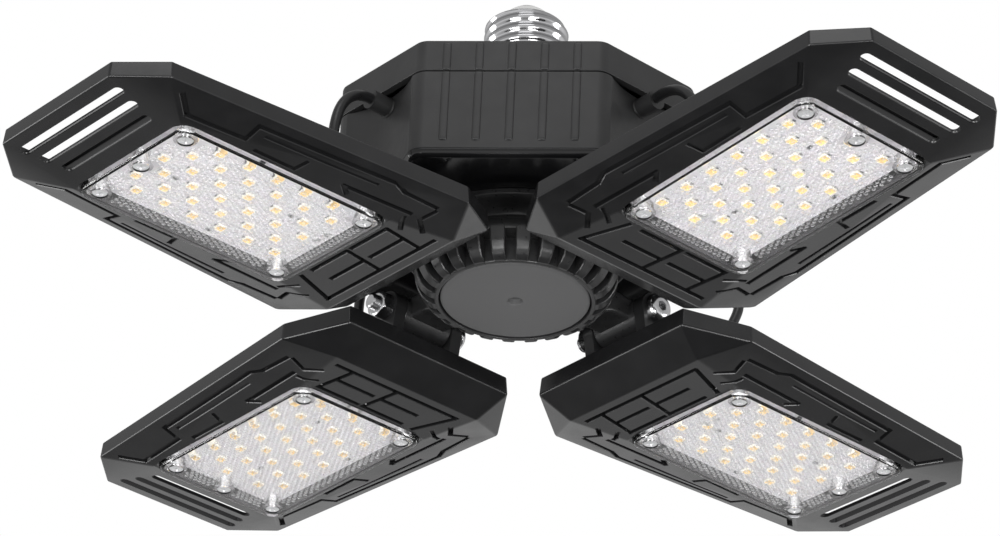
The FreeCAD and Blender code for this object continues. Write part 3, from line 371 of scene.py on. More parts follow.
def boolean(ob, cutter, self_=True):
    md = ob.modifiers.new("cut", "BOOLEAN")
    md.operation = "DIFFERENCE"
    md.solver = "EXACT"
    md.use_self = self_
    md.object = cutter
    dg = bpy.context.evaluated_depsgraph_get()
    me = bpy.data.meshes.new_from_object(ob.evaluated_get(dg))
    ob.modifiers.remove(md)
    old = ob.data
    ob.data = me
    bpy.data.meshes.remove(old)
    cm = cutter.data
    bpy.data.objects.remove(cutter)
    bpy.data.meshes.remove(cm)


def temp(me):
    ob = bpy.data.objects.new("temp", me)
    scene.collection.objects.link(ob)
    bpy.context.view_layer.update()
    return ob


def cutter_of(acc):
    return temp(acc.mesh("cutter"))


# ------------------------------------------------------------------ cables
ROUTE = {
    "a": [(45.0, -14.0), (56.5, -14.0), (63.4, -14.4), (68.9, -17.8), (72.5, -23.4), (74.0, -30.4), (74.0, -38.2), (71.8, -46.2), (69.94, -53.2)],
    "b": [(45.0, -14.0), (56.5, -14.0), (64.2, -13.6), (71.6, -16.4), (77.4, -22.2), (81.0, -29.8), (82.0, -38.4), (79.8, -46.6), (77.5, -53.2)],
    "c": [(45.0, -14.0), (56.5, -14.0), (63.2, -14.6), (68.4, -18.2), (71.9, -24.0), (73.4, -30.9), (73.4, -38.6), (71.5, -46.4), (69.92, -53.2)],
    "d": [(45.0, -14.0), (56.5, -14.0), (64.6, -13.0), (73.0, -11.2), (81.8, -11.8), (88.8, -16.0), (91.4, -23.4), (88.6, -31.2), (84.0, -38.8), (79.9, -46.4), (78.0, -53.2)],
}
LEAN = {"a": 2.0, "b": -2.5, "c": 1.5, "d": -3.0}
GROM = {"a": 70.0, "b": 77.0, "c": 70.0, "d": 78.0}
CABLE_DIA = 3.2


def cable_route(k):
    pts = ROUTE[k]
    n = len(pts)
    out = []
    for i, (r, z) in enumerate(pts):
        f = math.sin(math.pi * min(max((i - 1.0) / (n - 2.0), 0.0), 1.0))
        out.append(Vector((r, LEAN[k] * f, z)))
    t = math.radians(TILT[k])
    du, dz = GROM[k] - HINGE_U, -64.3 - HINGE_Z
    out.append(Vector((HINGE_U + du * math.cos(t) - dz * math.sin(t), 0, HINGE_Z + du * math.sin(t) + dz * math.cos(t))))
    return [arm_matrix(k) @ p for p in out]


def make_cable(k):
    pts = cable_route(k)
    cu = bpy.data.curves.new("route", "CURVE")
    cu.dimensions = "3D"
    cu.resolution_u = 10
    sp = cu.splines.new("NURBS")
    sp.points.add(len(pts) - 1)
    for p, q in zip(sp.points, pts):
        p.co = (*q, 1.0)
    sp.order_u = 3
    sp.use_endpoint_u = True
    ob = bpy.data.objects.new("route", cu)
    scene.collection.objects.link(ob)
    bpy.context.view_layer.update()
    line = bpy.data.meshes.new_from_object(ob)
    path = [v.co.copy() for v in line.vertices]
    bpy.data.meshes.remove(line)
    bpy.data.objects.remove(ob)
    bpy.data.curves.remove(cu)
    n = 20
    loops = []
    side = None
    rad = CABLE_DIA / 2 * MM
    for i, p in enumerate(path):
        a, b = path[max(i - 1, 0)], path[min(i + 1, len(path) - 1)]
        t = (b - a).normalized()
        if side is None:
            side = t.cross(Vector((0, 0, 1))).normalized()
        side = (side - side.dot(t) * t).normalized()
        up = t.cross(side)
        loops.append([p + (side * math.cos(2 * math.pi * j / n) + up * math.sin(2 * math.pi * j / n)) * rad for j in range(n)])
    me = Acc().add(*loft(loops)).mesh("cable_sheath_" + k, [CABLE], 40)
    ob = bpy.data.objects.new("supply_cable_" + k, me)
    scene.collection.objects.link(ob)
    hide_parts("cable_" + k)
    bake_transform(ob)
    length = sum((path[i + 1] - path[i]).length for i in range(len(path) - 1))
    print("cable", k, "spline length", round(length, 5))
    return ob


for k in "abcd":
    make_cable(k)


# ------------------------------------------------------------------ driver housing
FLAT, HALF = 52.8, 27.0
S_CENTRE, S_RAD = 87.0, 34.0


def fillet(pts, radii, seg):
    """polygon with each corner of a given radius rounded into seg pieces"""
    out = []
    n = len(pts)
    for i in range(n):
        r = radii[i]
        p, a, b = Vector(pts[i]), Vector(pts[i - 1]), Vector(pts[(i + 1) % n])
        if r <= 0:
            out.append(p)
            continue
        d1, d2 = (a - p).normalized(), (b - p).normalized()
        half = math.acos(max(-1, min(1, d1.dot(d2)))) / 2
        t = r / math.tan(half)
        c = p + (d1 + d2).normalized() * (r / math.sin(half))
        s, e = p + d1 * t - c, p + d2 * t - c
        ang = math.atan2(s.x * e.y - s.y * e.x, s.dot(e))
        for q in range(seg + 1):
            w = ang * q / seg
            out.append(c + Vector((s.x * math.cos(w) - s.y * math.sin(w), s.x * math.sin(w) + s.y * math.cos(w))))
    return out


def plan(inset, corner=5.0, scallop=False):
    a, w = FLAT - inset, HALF - 0.4142 * inset
    pts, rad = [], []
    rc = max(0.5, corner - inset)
    for q in range(4):
        ang = math.radians(90 * q)
        ca, sa = math.cos(ang), math.sin(ang)

        def rot(x, y):
            return (x * ca - y * sa, x * sa + y * ca)
        pts.append(rot(a, w))
        rad.append(rc)
        if scallop:
            dist = (a + w) * math.sqrt(0.5)
            r = S_RAD + inset
            h = math.sqrt(r * r - (S_CENTRE - dist) ** 2)
            th = math.atan2(h, S_CENTRE - dist)
            m = 18
            for i in range(m + 1):
                t = th - 2 * th * i / m
                # from the arc's centre back towards the axis
                x = S_CENTRE - r * math.cos(t)
                y = -r * math.sin(t)
                c45 = math.sqrt(0.5)
                pts.append(rot(x * c45 - y * c45, x * c45 + y * c45))
                rad.append(max(0.35, 1.3 - inset * 0.3) if i in (0, m) else 0.0)
        pts.append(rot(w, a))
        rad.append(rc)
    out = []
    n = len(pts)
    for i in range(n):
        pass
    return fillet(pts, rad, 5)


def plan_loop(z, inset, corner=5.0, scallop=False):
    return [(p.x, p.y, z) for p in plan(inset, corner, scallop)]


def rib(acc, x, z0, z1, q, wide=2.4, proud=0.6):
    """rounded rib on a flat side, from z0 (low) to z1 (high)"""
    T = Matrix.Rotation(math.radians(90 * q), 4, "Z")
    loops = []
    ends = [(z0, 0.12), (z0 + 0.12, 0.5), (z0 + 0.45, 0.82), (z0 + 1.0, 1.0), (z1 - 0.9, 1.0), (z1 - 0.4, 0.8), (z1 - 0.1, 0.45), (z1, 0.12)]
    for z, s in ends:
        lp = [(x - wide / 2, -FLAT + 0.5, z), ]
        for i in range(9):
            t = math.pi * i / 8
            sx = -math.cos(t)
            sy = math.sin(t) ** 0.6
            lp.append((x + sx * wide / 2 * (0.75 + 0.25 * s), -FLAT - proud * s * sy, z))
        lp.append((x + wide / 2, -FLAT + 0.5, z))
        loops.append(lp)
    acc.add(*loft(loops), 0, T)


# cover with its rounded top edge and a hollow inside
cover = Acc()
cover.add(*loft([plan_loop(-2.4, 2.2), plan_loop(-10.5, 2.2), plan_loop(-10.5, 0.45), plan_loop(-10.42, 0.12), plan_loop(-10.2, 0.0),
                 plan_loop(-0.6, 0.0), plan_loop(-0.3, 0.08), plan_loop(-0.08, 0.3), plan_loop(0.0, 0.6)]))
for q in range(4):
    for i in (-2, -1, 0, 1, 2):
        rib(cover, 9.6 * i, -10.3, -0.9, q)
# neck: a low step, then the tube that carries the shell
cover.add(*turn([(9.6, -2.0), (20.6, -2.0), (20.6, 0.2), (20.3, 0.5), (20.0, 0.8), (20.0, 2.2), (19.8, 2.7), (19.3, 3.0), (16.2, 3.0), (15.7, 3.25), (15.4, 3.8),
                 (15.4, 18.2), (15.15, 18.75), (14.6, 19.0), (12.25, 19.0), (12.25, 21.5), (9.6, 21.5)], 96))
for i in range(24):
    # shallow grip flutes round the neck
    a = math.radians(15 * i)
    T = Matrix.Rotation(a, 4, "Z")
    lp = []
    for z, s in ((4.6, 0.1), (5.0, 0.7), (5.8, 1.0), (16.0, 1.0), (16.8, 0.7), (17.2, 0.1)):
        lp.append([(15.0, -0.7, z), (15.3 + 0.25 * s, -0.55, z), (15.35 + 0.42 * s, 0, z), (15.3 + 0.25 * s, 0.55, z), (15.0, 0.7, z)])
    cover.add(*loft(lp), 0, T)
piece("housing_top_cover", cover.mesh("housing_top_cover", [HOUSING_BLACK], 32), "lamp_base", ("housing_cover",), ROOT)

shell = Acc()
shell.add(*loft([plan_loop(-37.4, 0.25, 5.0, True), plan_loop(-37.2, 0.0, 5.0, True), plan_loop(-11.3, 0.0, 5.0, True), plan_loop(-10.95, 0.12, 5.0, True), plan_loop(-10.8, 0.5, 5.0, True),
                 plan_loop(-10.8, 2.2, 5.0, True), plan_loop(-37.4, 2.2, 5.0, True)], ring=True))
for q in range(4):
    for i in (-2, -1, 0, 1, 2):
        rib(shell, 9.6 * i, -34.7, -11.0, q)
me = shell.mesh("driver_housing_shell", [HOUSING_BLACK], 32)
ob = temp(me)
cut = Acc()
for k, az in BLADES.items():
    T = Matrix.Rotation(math.radians(az), 4, "Z") @ Matrix.Translation((44, 0, -14)) @ Matrix.Rotation(math.radians(90), 4, "Y")
    cut.add(*turn([(0, -2), (3.0, -2), (3.0, 16), (0, 16)], 32), 0, T)
boolean(ob, cutter_of(cut), False)
me = ob.data
bpy.data.objects.remove(ob)
shade(me, 32)
piece("driver_housing_shell", me, "lamp_base", ("driver_housing",), ROOT)

base = Acc()
base.add(*loft([plan_loop(-37.4, 0.5, 5.0, True), plan_loop(-37.45, 0.12, 5.0, True), plan_loop(-37.65, 0.0, 5.0, True)] + [plan_loop(-37.9 - 1.9 * math.sin(math.radians(a)), 1.9 - 1.9 * math.cos(math.radians(a)), 5.0, True) for a in (0, 15, 30, 45, 60, 75, 90)]))
piece("housing_base_plate", base.mesh("housing_base_plate", [BASE_BLACK], 32), "lamp_base", ("housing_base",), ROOT)

# ------------------------------------------------------------------ screw base
PITCH = 3.63


def shell_radius(z, th):
    lo, hi = 4.0, 18.9
    ph = ((z - 1.2) / PITCH - th / (2 * math.pi)) % 1.0
    wave = 0.5 - 0.5 * math.cos(2 * math.pi * ph)
    wave = wave ** 0.85
    r = 12.18 + 0.94 * wave
    if z < lo:
        r = 13.2
    elif z < lo + 1.6:
        s = (z - lo) / 1.6
        s = s * s * (3 - 2 * s)
        r = 13.2 * (1 - s) + r * s
    if z > hi:
        s = min(1.0, (z - hi) / 1.2)
        s = s * s * (3 - 2 * s)
        r = r * (1 - s) + 12.0 * s
    return min(r, 13.2)


def screw_shell():
    n = 120
    zs = [0.0, 0.3] + [0.9 + 0.3 * i for i in range(63)]
    loops = []
    for z in zs:
        if z > 19.6:
            break
        loops.append([(shell_radius(z, 2 * math.pi * j / n) * math.cos(2 * math.pi * j / n),
                       shell_radius(z, 2 * math.pi * j / n) * math.sin(2 * math.pi * j / n), z) for j in range(n)])
    for r, z in ((11.9, 19.8), (11.5, 20.2), (10.8, 20.6), (9.9, 20.8), (9.3, 20.8), (9.1, 20.65), (9.2, 20.4), (10.4, 20.0), (11.2, 19.4), (11.6, 18.5), (11.6, 4.0), (12.4, 2.8), (12.4, 0.0)):
        loops.append([(r * math.cos(2 * math.pi * j / n), r * math.sin(2 * math.pi * j / n), z) for j in range(n)])
    return loft(loops, ring=True)


piece("threaded_shell", Acc().add(*screw_shell()).mesh("threaded_shell", [NICKEL], 50), "lamp_base", ("screw_shell",), TOP, wn=False)
ins = Acc().add(*turn([(0, 19.4), (9.7, 19.4), (9.0, 20.2), (9.0, 20.9), (8.9, 21.2), (8.5, 21.7), (7.6, 23.2), (6.6, 24.5), (6.1, 24.95), (5.5, 25.1), (3.6, 25.1), (3.6, 24.1), (0, 24.1)], 72))
piece("shell_insulator", ins.mesh("shell_insulator", [INSULATOR], 40), "lamp_base", ("base_insulator",), TOP)
tip = Acc().add(*turn([(0, 24.1), (3.6, 24.1), (3.6, 25.1), (4.75, 25.1), (4.9, 25.3), (4.82, 25.7), (4.5, 26.15), (3.8, 26.6), (2.8, 26.95), (1.7, 27.17), (0.7, 27.28), (0, 27.3)], 64))
piece("shell_contact", tip.mesh("shell_contact", [TIN], 40), "lamp_base", ("contact_tip",), TOP)

# ------------------------------------------------------------------ hub
ZF, ZH = -39.8, -58.5
hub = Acc()
hub.add(*turn([(5.0, ZF), (34.4, ZF), (34.7, ZF - 0.1), (34.8, ZF - 0.4), (34.8, ZF - 1.6), (34.65, ZF - 1.95), (34.2, ZF - 2.3), (33.4, ZF - 2.6), (30.6, ZF - 3.15), (29.4, ZF - 3.7),
               (28.5, ZF - 4.5), (28.25, ZF - 5.2), (28.6, ZF - 6.0), (29.5, ZF - 7.0), (30.2, ZF - 7.8), (30.55, ZF - 8.8), (30.6, ZF - 9.8), (30.5, ZF - 10.6), (30.2, ZF - 10.95), (29.6, ZF - 11.05),
               (24.9, ZF - 11.05), (24.55, ZF - 11.3), (24.45, ZF - 11.8), (24.35, ZH + 0.5), (24.2, ZH + 0.15), (23.9, ZH - 0.08), (23.3, ZH - 0.1), (23.0, ZH), (22.8, ZH + 0.35), (22.8, ZH + 3.0), (5.0, ZH + 3.0)], 144))


def fin_outer(z):
    t = ZF - z
    tab = [(9.8, 30.6), (10.8, 30.5), (13.4, 29.7), (15.8, 28.4), (17.7, 26.7), (18.35, 25.7), (18.7, 24.9)]
    for (t0, r0), (t1, r1) in zip(tab, tab[1:]):
        if t <= t1:
            s = (t - t0) / (t1 - t0)
            return r0 + (r1 - r0) * s
    return tab[-1][1]


NFIN = 24
for i in range(NFIN):
    T = Matrix.Rotation(2 * math.pi * (i + 0.5) / NFIN, 4, "Z")
    loops = []
    for z in (ZF - 10.2, ZF - 10.8, ZF - 12.0, ZF - 13.4, ZF - 14.6, ZF - 15.8, ZF - 16.8, ZF - 17.6, ZF - 18.1, ZF - 18.45, ZF - 18.65, ZF - 18.7):
        R = fin_outer(z)
        edge = 1.0 if z > ZF - 18.3 else max(0.35, 1 - (ZF - 18.3 - z) * 1.4)

        def half(r):
            return (math.pi / NFIN - math.asin(1.6 / r)) * r * (0.9 + 0.1 * edge)
        rr = 0.55
        hin, hout = half(23.9), half(max(R, 24.5))
        lp = [(23.9, -hin, z)]
        for t in (0.0, 0.35, 0.7, 1.0):
            a = t * math.pi / 2
            lp.append((R - rr + rr * math.sin(a) - 0.0, -(hout - rr + rr * math.cos(a)), z))
        for t in (1.0, 0.7, 0.35, 0.0):
            a = t * math.pi / 2
            lp.append((R - rr + rr * math.sin(a), hout - rr + rr * math.cos(a), z))
        lp.append((23.9, hin, z))
        loops.append(lp)
    hub.add(*loft(loops), 0, T)


def arm_loop(x, y, z0, z1, r=1.2, n=4):
    """rounded section across the arm at x"""
    pts = []
    for cy, cz, a0 in ((y - r, z0 + r, -90), (y - r, z1 - r, 0), (-y + r, z1 - r, 90), (-y + r, z0 + r, 180)):
        for i in range(n + 1):
            a = math.radians(a0 + 90.0 * i / n)
            pts.append((x, cy + r * math.cos(a), cz + r * math.sin(a)))
    return pts


for k, az in BLADES.items():
    T = Matrix.Rotation(math.radians(az), 4, "Z")
    hub.add(*loft([arm_loop(24.0, 7.0, -52.4, -43.0), arm_loop(30.5, 7.0, -52.3, -43.0), arm_loop(33.0, 7.0, -51.2, -43.0), arm_loop(36.0, 7.0, -50.7, -43.0), arm_loop(45.0, 7.0, -50.6, -43.6)]), 0, T)
    # barrel at the arm's end, bored for the bolt
    B = T @ Matrix.Translation((45.0, 0, -48.0)) @ Matrix.Rotation(math.radians(90), 4, "X")
    hub.add(*turn([(2.58, -9.0), (5.0, -9.0), (5.25, -8.9), (5.4, -8.6), (5.4, 8.6), (5.25, 8.9), (5.0, 9.0), (2.58, 9.0)], 48), 0, B)
piece("hub_casting", hub.mesh("hub_casting", [HUB_BLACK], 32), "lamp_base", ("hub_heat_sink",), ROOT)

cap = Acc().add(*turn([(0, ZH + 3.0), (22.5, ZH + 3.0), (22.5, ZH + 1.1), (22.42, ZH + 0.7), (22.15, ZH + 0.35), (21.7, ZH + 0.1), (21.1, ZH), (2.7, ZH), (2.45, ZH + 0.08), (2.25, ZH + 0.3), (2.1, ZH + 1.5), (1.7, ZH + 1.8), (0, ZH + 1.9)], 128))
piece("hub_end_cap", cap.mesh("hub_end_cap", [CAP_BLACK], 32), "lamp_base", ("hub_cap",), ROOT)

# ------------------------------------------------------------------ blade bezel
P = {"oe": (169.1, 24.6, -66.0), "oc": (156.9, 36.6, -66.3), "ic": (56.3, 43.5, -66.6), "ie": (38.6, 31.7, -63.3)}
FE = (48.7, 28.2, -69.7)
LENS_IN, LENS_LEN, LENS_HALF, Z_LENS = 69.9, 73.7, 24.4, -71.35
GAP, Z_OPEN = 0.4, -69.9
SKIRT, SKIRT_IN = -60.8, -57.0
PLATE, FLANGE = -64.5, -68.2
SCREWS = [(74.9, 19.6), (74.9, -19.6), (138.6, 19.6), (138.6, -19.6), (139.0, 0.0)]


def rim(k):
    return {"oe": (169.1 - k, 24.6 - 0.4 * k), "oc": (156.9 - 0.4 * k, 36.6 - k), "ic": (56.3 + 0.45 * k, 43.5 - k), "ie": (38.6 + k, 31.7 - 0.55 * k)}


LI = (LENS_IN - GAP, LENS_HALF + GAP, Z_OPEN)
LO = (LENS_IN + LENS_LEN + GAP, LENS_HALF + GAP, Z_OPEN)
FACETS = [(LO, P["oe"], P["oc"]), (LO, P["oc"], P["ic"]), (LO, P["ic"], LI), (LI, P["ic"], FE), (FE, P["ic"], P["ie"])]


def neg(p):
    return (p[0], -p[1], p[2])


FLATS = [(LI, neg(LI), neg(FE)), (LI, neg(FE), FE), (FE, neg(FE), neg(P["ie"])), (FE, neg(P["ie"]), P["ie"]), (LO, neg(LO), neg(P["oe"])), (LO, neg(P["oe"]), P["oe"])]


def surf(u, v):
    """height of the bezel's face at a point of its plan"""
    best, bz = 1e9, Z_OPEN
    av = abs(v)
    for tri in FACETS + FLATS:
        (x1, y1, z1), (x2, y2, z2), (x3, y3, z3) = tri
        det = (y2 - y3) * (x1 - x3) + (x3 - x2) * (y1 - y3)
        a = ((y2 - y3) * (u - x3) + (x3 - x2) * (av - y3)) / det
        b = ((y3 - y1) * (u - x3) + (x1 - x3) * (av - y3)) / det
        c = 1 - a - b
        out = max(0, -a) + max(0, -b) + max(0, -c)
        if out < best:
            best, bz = out, a * z1 + b * z2 + c * z3
    return bz


def bezel_blank():
    lo = rim(0.0)
    hi = rim(0.5)
    zt = {"oe": SKIRT, "oc": SKIRT, "ic": SKIRT, "ie": SKIRT_IN}
    ix, vs, fs = {}, [], []
    for s in (1, -1):
        for k in lo:
            ix[k, s] = len(vs)
            vs.append((lo[k][0], s * lo[k][1], P[k][2]))
            ix["t" + k, s] = len(vs)
            vs.append((hi[k][0], s * hi[k][1], zt[k]))
        for k, p in (("li", LI), ("lo", LO), ("fe", FE)):
            ix[k, s] = len(vs)
            vs.append((p[0], s * p[1], p[2]))

    def face(*ks):
        fs.append(tuple(ix[k] for k in ks))
    for s in (1, -1):
        face(("lo", s), ("oe", s), ("oc", s))
        face(("lo", s), ("oc", s), ("ic", s))
        face(("lo", s), ("ic", s), ("li", s))
        face(("li", s), ("ic", s), ("fe", s))
        face(("fe", s), ("ic", s), ("ie", s))
        for a, b in (("oe", "oc"), ("oc", "ic"), ("ic", "ie")):
            face((a, s), (b, s), ("t" + b, s), ("t" + a, s))
    face(("li", 1), ("li", -1), ("fe", -1), ("fe", 1))
    face(("fe", 1), ("fe", -1), ("ie", -1), ("ie", 1))
    face(("lo", 1), ("lo", -1), ("oe", -1), ("oe", 1))
    face(("oe", 1), ("oe", -1), ("toe", -1), ("toe", 1))
    face(("ie", 1), ("ie", -1), ("tie", -1), ("tie", 1))
    face(("li", 1), ("li", -1), ("lo", -1), ("lo", 1))
    face(("toe", 1), ("toe", -1), ("toc", -1), ("tic", -1), ("tic", 1), ("toc", 1))
    face(("tic", 1), ("tic", -1), ("tie", -1), ("tie", 1))
    me = bpy.data.meshes.new("bezel")
    me.from_pydata(vs, [], fs)
    bm = bmesh.new()
    bm.from_mesh(me)
    bmesh.ops.recalc_face_normals(bm, faces=bm.faces)
    edges = [e for e in bm.edges if e.calc_face_angle(0.0) > math.radians(11)]
    bmesh.ops.bevel(bm, geom=edges, offset=0.55, segments=3, profile=0.5, affect="EDGES", clamp_overlap=True)
    bm.to_mesh(me)
    bm.free()
    return me


def groove(acc, pts, wide=1.0, deep=0.65):
    """a channel that follows the face along a polyline in plan"""
    for (x0, y0), (x1, y1) in zip(pts, pts[1:]):
        a, b = Vector((x0, y0)), Vector((x1, y1))
        d = (b - a)
        length = d.length
        d.normalize()
        n = Vector((-d.y, d.x)) * wide / 2
        a, b = a - d * wide * 0.42, b + d * wide * 0.42
        m = max(1, int(length / 8))
        loops = []
        for i in range(m + 1):
            p = a.lerp(b, i / m)
            lp = []
            c = 1 + 0.36 / wide
            for w, z in ((1, deep), (-1, deep), (-1, 0.2), (-c, -0.05), (-c, -2.0), (c, -2.0), (c, -0.05), (1, 0.2)):
                q = p + n * w
                r = p + n * max(-1, min(1, w))
                lp.append((q.x, q.y, surf(r.x, r.y) + z))
            loops.append(lp)
        acc.add(*loft(loops))


def bezel_mesh():
    ob = temp(bezel_blank())
    inn = rim(3.0)
    order = [("oe", 1), ("oc", 1), ("ic", 1), ("ie", 1), ("ie", -1), ("ic", -1), ("oc", -1), ("oe", -1)]
    boolean(ob, cutter_of(Acc().add(*loft([[(inn[k][0], s * inn[k][1], z) for k, s in order] for z in (PLATE, PLATE + 20)]))), False)
    fw = 2.7
    boolean(ob, cutter_of(Acc().add(*loft([rrect(LENS_IN - fw, LENS_IN + LENS_LEN + fw, LENS_HALF + fw, 1.0, z, 2) for z in (FLANGE, FLANGE + 9)]))), False)
    g = GAP
    boolean(ob, cutter_of(Acc().add(*loft([rrect(LENS_IN - g - e, LENS_IN + LENS_LEN + g + e, LENS_HALF + g + e, 4.4 + e, z, 8) for z, e in ((-75.0, 0.5), (Z_OPEN + 0.02, 0.45), (Z_OPEN + 0.35, 0.0), (-63.0, 0.0))]))), False)
    wedge = [[(148.4, v, -68.0), (165.6, v, -65.35), (165.6, v, -50.0), (148.4, v, -50.0)] for v in (-23.8, 23.8)]
    boolean(ob, cutter_of(Acc().add(*loft(wedge))), False)
    cut = Acc()
    for u, half in ((151.2, 19.4), (157.4, 21.4), (163.4, 23.0)):
        cut.add(*loft([rrect(u - 1.5 - e, u + 1.5 + e, half + e, 1.45 + e, z, 6) for z, e in ((-74.0, 0.25), (surf(u, 0) + 0.05, 0.25), (surf(u, 0) + 0.35, 0.0), (-58.0, 0.0))]))
    boolean(ob, cutter_of(cut), False)
    # sunk lines of the casting, the same on every blade
    cut = Acc()
    for s in (1, -1):
        # outer border line and its step
        groove(cut, [(150.4, s * 33.2), (144.6, s * 27.8), (125.4, s * 29.2), (125.2, s * 35.0), (78.4, s * 38.4), (74.2, s * 36.6), (62.4, s * 36.4)], 1.5, 1.25)
        groove(cut, [(121.0, s * 32.8), (83.0, s * 35.0)], 1.0, 0.6)
        # inner pads next to the lens
        groove(cut, [(66.8, s * 30.3), (90.4, s * 29.2)], 1.5, 1.4)
        groove(cut, [(90.4, s * 29.2), (87.6, s * 27.0)], 1.5, 0.95)
        groove(cut, [(105.2, s * 31.2), (106.3, s * 26.9), (120.2, s * 26.9)], 1.4, 0.9)
        # chevrons at the inner lens corner
        groove(cut, [(61.4, s * 35.0), (62.8, s * 29.6), (58.4, s * 25.9)], 1.4, 1.5)
        groove(cut, [(67.2, s * 28.2), (66.6, s * 26.4), (64.2, s * 23.0)], 1.3, 1.4)
    # inner end: one long line, two three-armed marks and a slash
    groove(cut, [(52.8, 24.6), (52.8, -23.2)], 1.6, 1.8)
    for y in (18.2, 0.6):
        groove(cut, [(52.8, y), (67.0, y + 2.1)], 1.6, 1.8)
        groove(cut, [(59.8, y + 1.0), (59.8, y - 13.4)], 1.6, 1.8)
        groove(cut, [(67.0, y + 2.1), (67.0, y - 13.4)], 1.6, 1.8)
    groove(cut, [(52.8, -23.2), (67.2, -17.8)], 1.6, 1.8)
    boolean(ob, cutter_of(cut), True)
    me = ob.data
    bpy.data.objects.remove(ob)
    me.name = "bezel"
    bm = bmesh.new()
    bm.from_mesh(me)
    bmesh.ops.remove_doubles(bm, verts=bm.verts, dist=0.002)
    bmesh.ops.dissolve_degenerate(bm, edges=bm.edges, dist=0.002)
    bm.to_mesh(me)
    bm.free()
    me.materials.clear()
    me.materials.append(FRAME_BLACK)
    shade(me, 28)
    return me


# ------------------------------------------------------------------ cover lens
def lens_mesh():
    x0, x1, y = LENS_IN, LENS_IN + LENS_LEN, LENS_HALF

    def lp(i, z):
        return rrect(x0 + i, x1 - i, y - i, max(0.6, 4.0 - i), z, 6)
    body = Acc().add(*loft([lp(1.4, Z_LENS + 1.4), lp(1.4, FLANGE + 1.0), lp(-2.4, FLANGE + 1.0), lp(-2.4, FLANGE), lp(0.0, FLANGE), lp(0.0, Z_LENS + 0.7),
                            lp(0.06, Z_LENS + 0.43), lp(0.2, Z_LENS + 0.2), lp(0.43, Z_LENS + 0.06), lp(0.7, Z_LENS)]))
    ob = temp(body.mesh("lens"))
    cut = Acc()
    for u, v in SCREWS:
        cut.add(*turn([(0, -73), (2.55, -73), (2.4, Z_LENS + 0.15), (2.4, Z_LENS + 1.2), (1.35, Z_LENS + 1.2), (1.35, -60), (0, -60)], 32), 0, Matrix.Translation((u, v, 0)))
    boolean(ob, cutter_of(cut), False)
    me = ob.data
    bpy.data.objects.remove(ob)
    me.materials.clear()
    me.materials.append(LENS)
    shade(me, 35)
    return me


def boss_mesh():
    acc = Acc()
    for u, v in SCREWS:
        zt = -66.25
        acc.add(*turn([(1.35, Z_LENS + 1.21), (1.35, zt), (2.6, zt), (2.8, zt - 0.2), (2.9, Z_LENS + 3.0), (3.1, Z_LENS + 2.2), (3.5, Z_LENS + 1.41), (2.41, Z_LENS + 1.41), (2.41, Z_LENS + 1.21)], 36), 0, Matrix.Translation((u, v, 0)))
    return acc.mesh("bosses", [BOSS], 35)


def dome_mesh():
    """rows of small domes on the cover's inner face, packed in a hexagon grid"""
    acc = Acc()
    pitch = 1.72
    rise = pitch * math.sqrt(3) / 2
    z0 = Z_LENS + 1.41
    prof = [(1.0, 0.0), (0.93, 0.16), (0.75, 0.31), (0.45, 0.42)]
    rad = pitch * 0.38
    x0, x1 = LENS_IN + 2.4, LENS_IN + LENS_LEN - 2.4
    y1 = LENS_HALF - 2.4
    rows = int((x1 - x0) / rise)
    ox = (x0 + x1) / 2 - (rows - 1) * rise / 2
    cols = int(2 * y1 / pitch)
    n = 8
    for i in range(rows):
        u = ox + i * rise
        off = pitch / 2 if i % 2 else 0.0
        for j in range(cols):
            v = -y1 + pitch / 2 + j * pitch + off
            if v > y1 - pitch / 2 + 0.01:
                continue
            if any((u - a) ** 2 + (v - b) ** 2 < 4.6 ** 2 for a, b in SCREWS):
                continue
            vs = []
            for r, h in prof:
                for q in range(n):
                    a = 2 * math.pi * (q + 0.5) / n
                    vs.append((u + r * rad * math.cos(a), v + r * rad * math.sin(a), z0 + h))
            vs.append((u, v, z0 + 0.46))
            fs = []
            for t in range(len(prof) - 1):
                for q in range(n):
                    w = (q + 1) % n
                    fs.append((t * n + q, t * n + w, (t + 1) * n + w, (t + 1) * n + q))
            last = (len(prof) - 1) * n
            for q in range(n):
                fs.append((last + q, last + (q + 1) % n, len(vs) - 1))
            # the two lowest bands of each dome take the pale part-opaque material: a painted highlight ring
            acc.add(vs, fs[:n] + fs[n:2 * n], 1)
            acc.add(vs, fs[2 * n:] + [tuple(reversed(range(n)))], 0)
    me = acc.mesh("prisms", [DOME, PRISM_RING_PAINTED_HIGHLIGHT], 60)
    bm = bmesh.new()
    bm.from_mesh(me)
    bmesh.ops.remove_doubles(bm, verts=bm.verts, dist=0.0005)
    bm.to_mesh(me)
    bm.free()
    return me


# ------------------------------------------------------------------ light board
Z_PCB = -66.2


def led_places():
    cu = LENS_IN + LENS_LEN / 2 - 0.5
    return [(cu + (i - 2.5) * 10.0 + (2.5 if r % 2 else -2.5), (r - 2.5) * 6.4) for r in range(6) for i in range(6)]


def led_mesh():
    acc = Acc()
    for u, v in led_places():
        def sq(h, r, z):
            return [(u + x, v + y, z) for x, y, _ in [(p[0], p[1], 0) for p in rrect(-h, h, h, r, 0, 2)]]
        z = Z_PCB
        acc.add(*loft([sq(1.4, 0.15, z), sq(1.4, 0.15, z - 0.55), sq(1.36, 0.15, z - 0.7), sq(1.3, 0.2, z - 0.7), sq(1.24, 0.2, z - 0.62)], cap1=False), 0)
        n = len(sq(1, 0.1, 0))
        acc.add(sq(1.24, 0.2, z - 0.62), [tuple(range(n))], 1)
    me = acc.mesh("leds", [LED_WHITE, PHOSPHOR], 30)
    bm = bmesh.new()
    bm.from_mesh(me)
    bmesh.ops.remove_doubles(bm, verts=bm.verts, dist=0.001)
    bmesh.ops.recalc_face_normals(bm, faces=bm.faces)
    bm.to_mesh(me)
    bm.free()
    return me


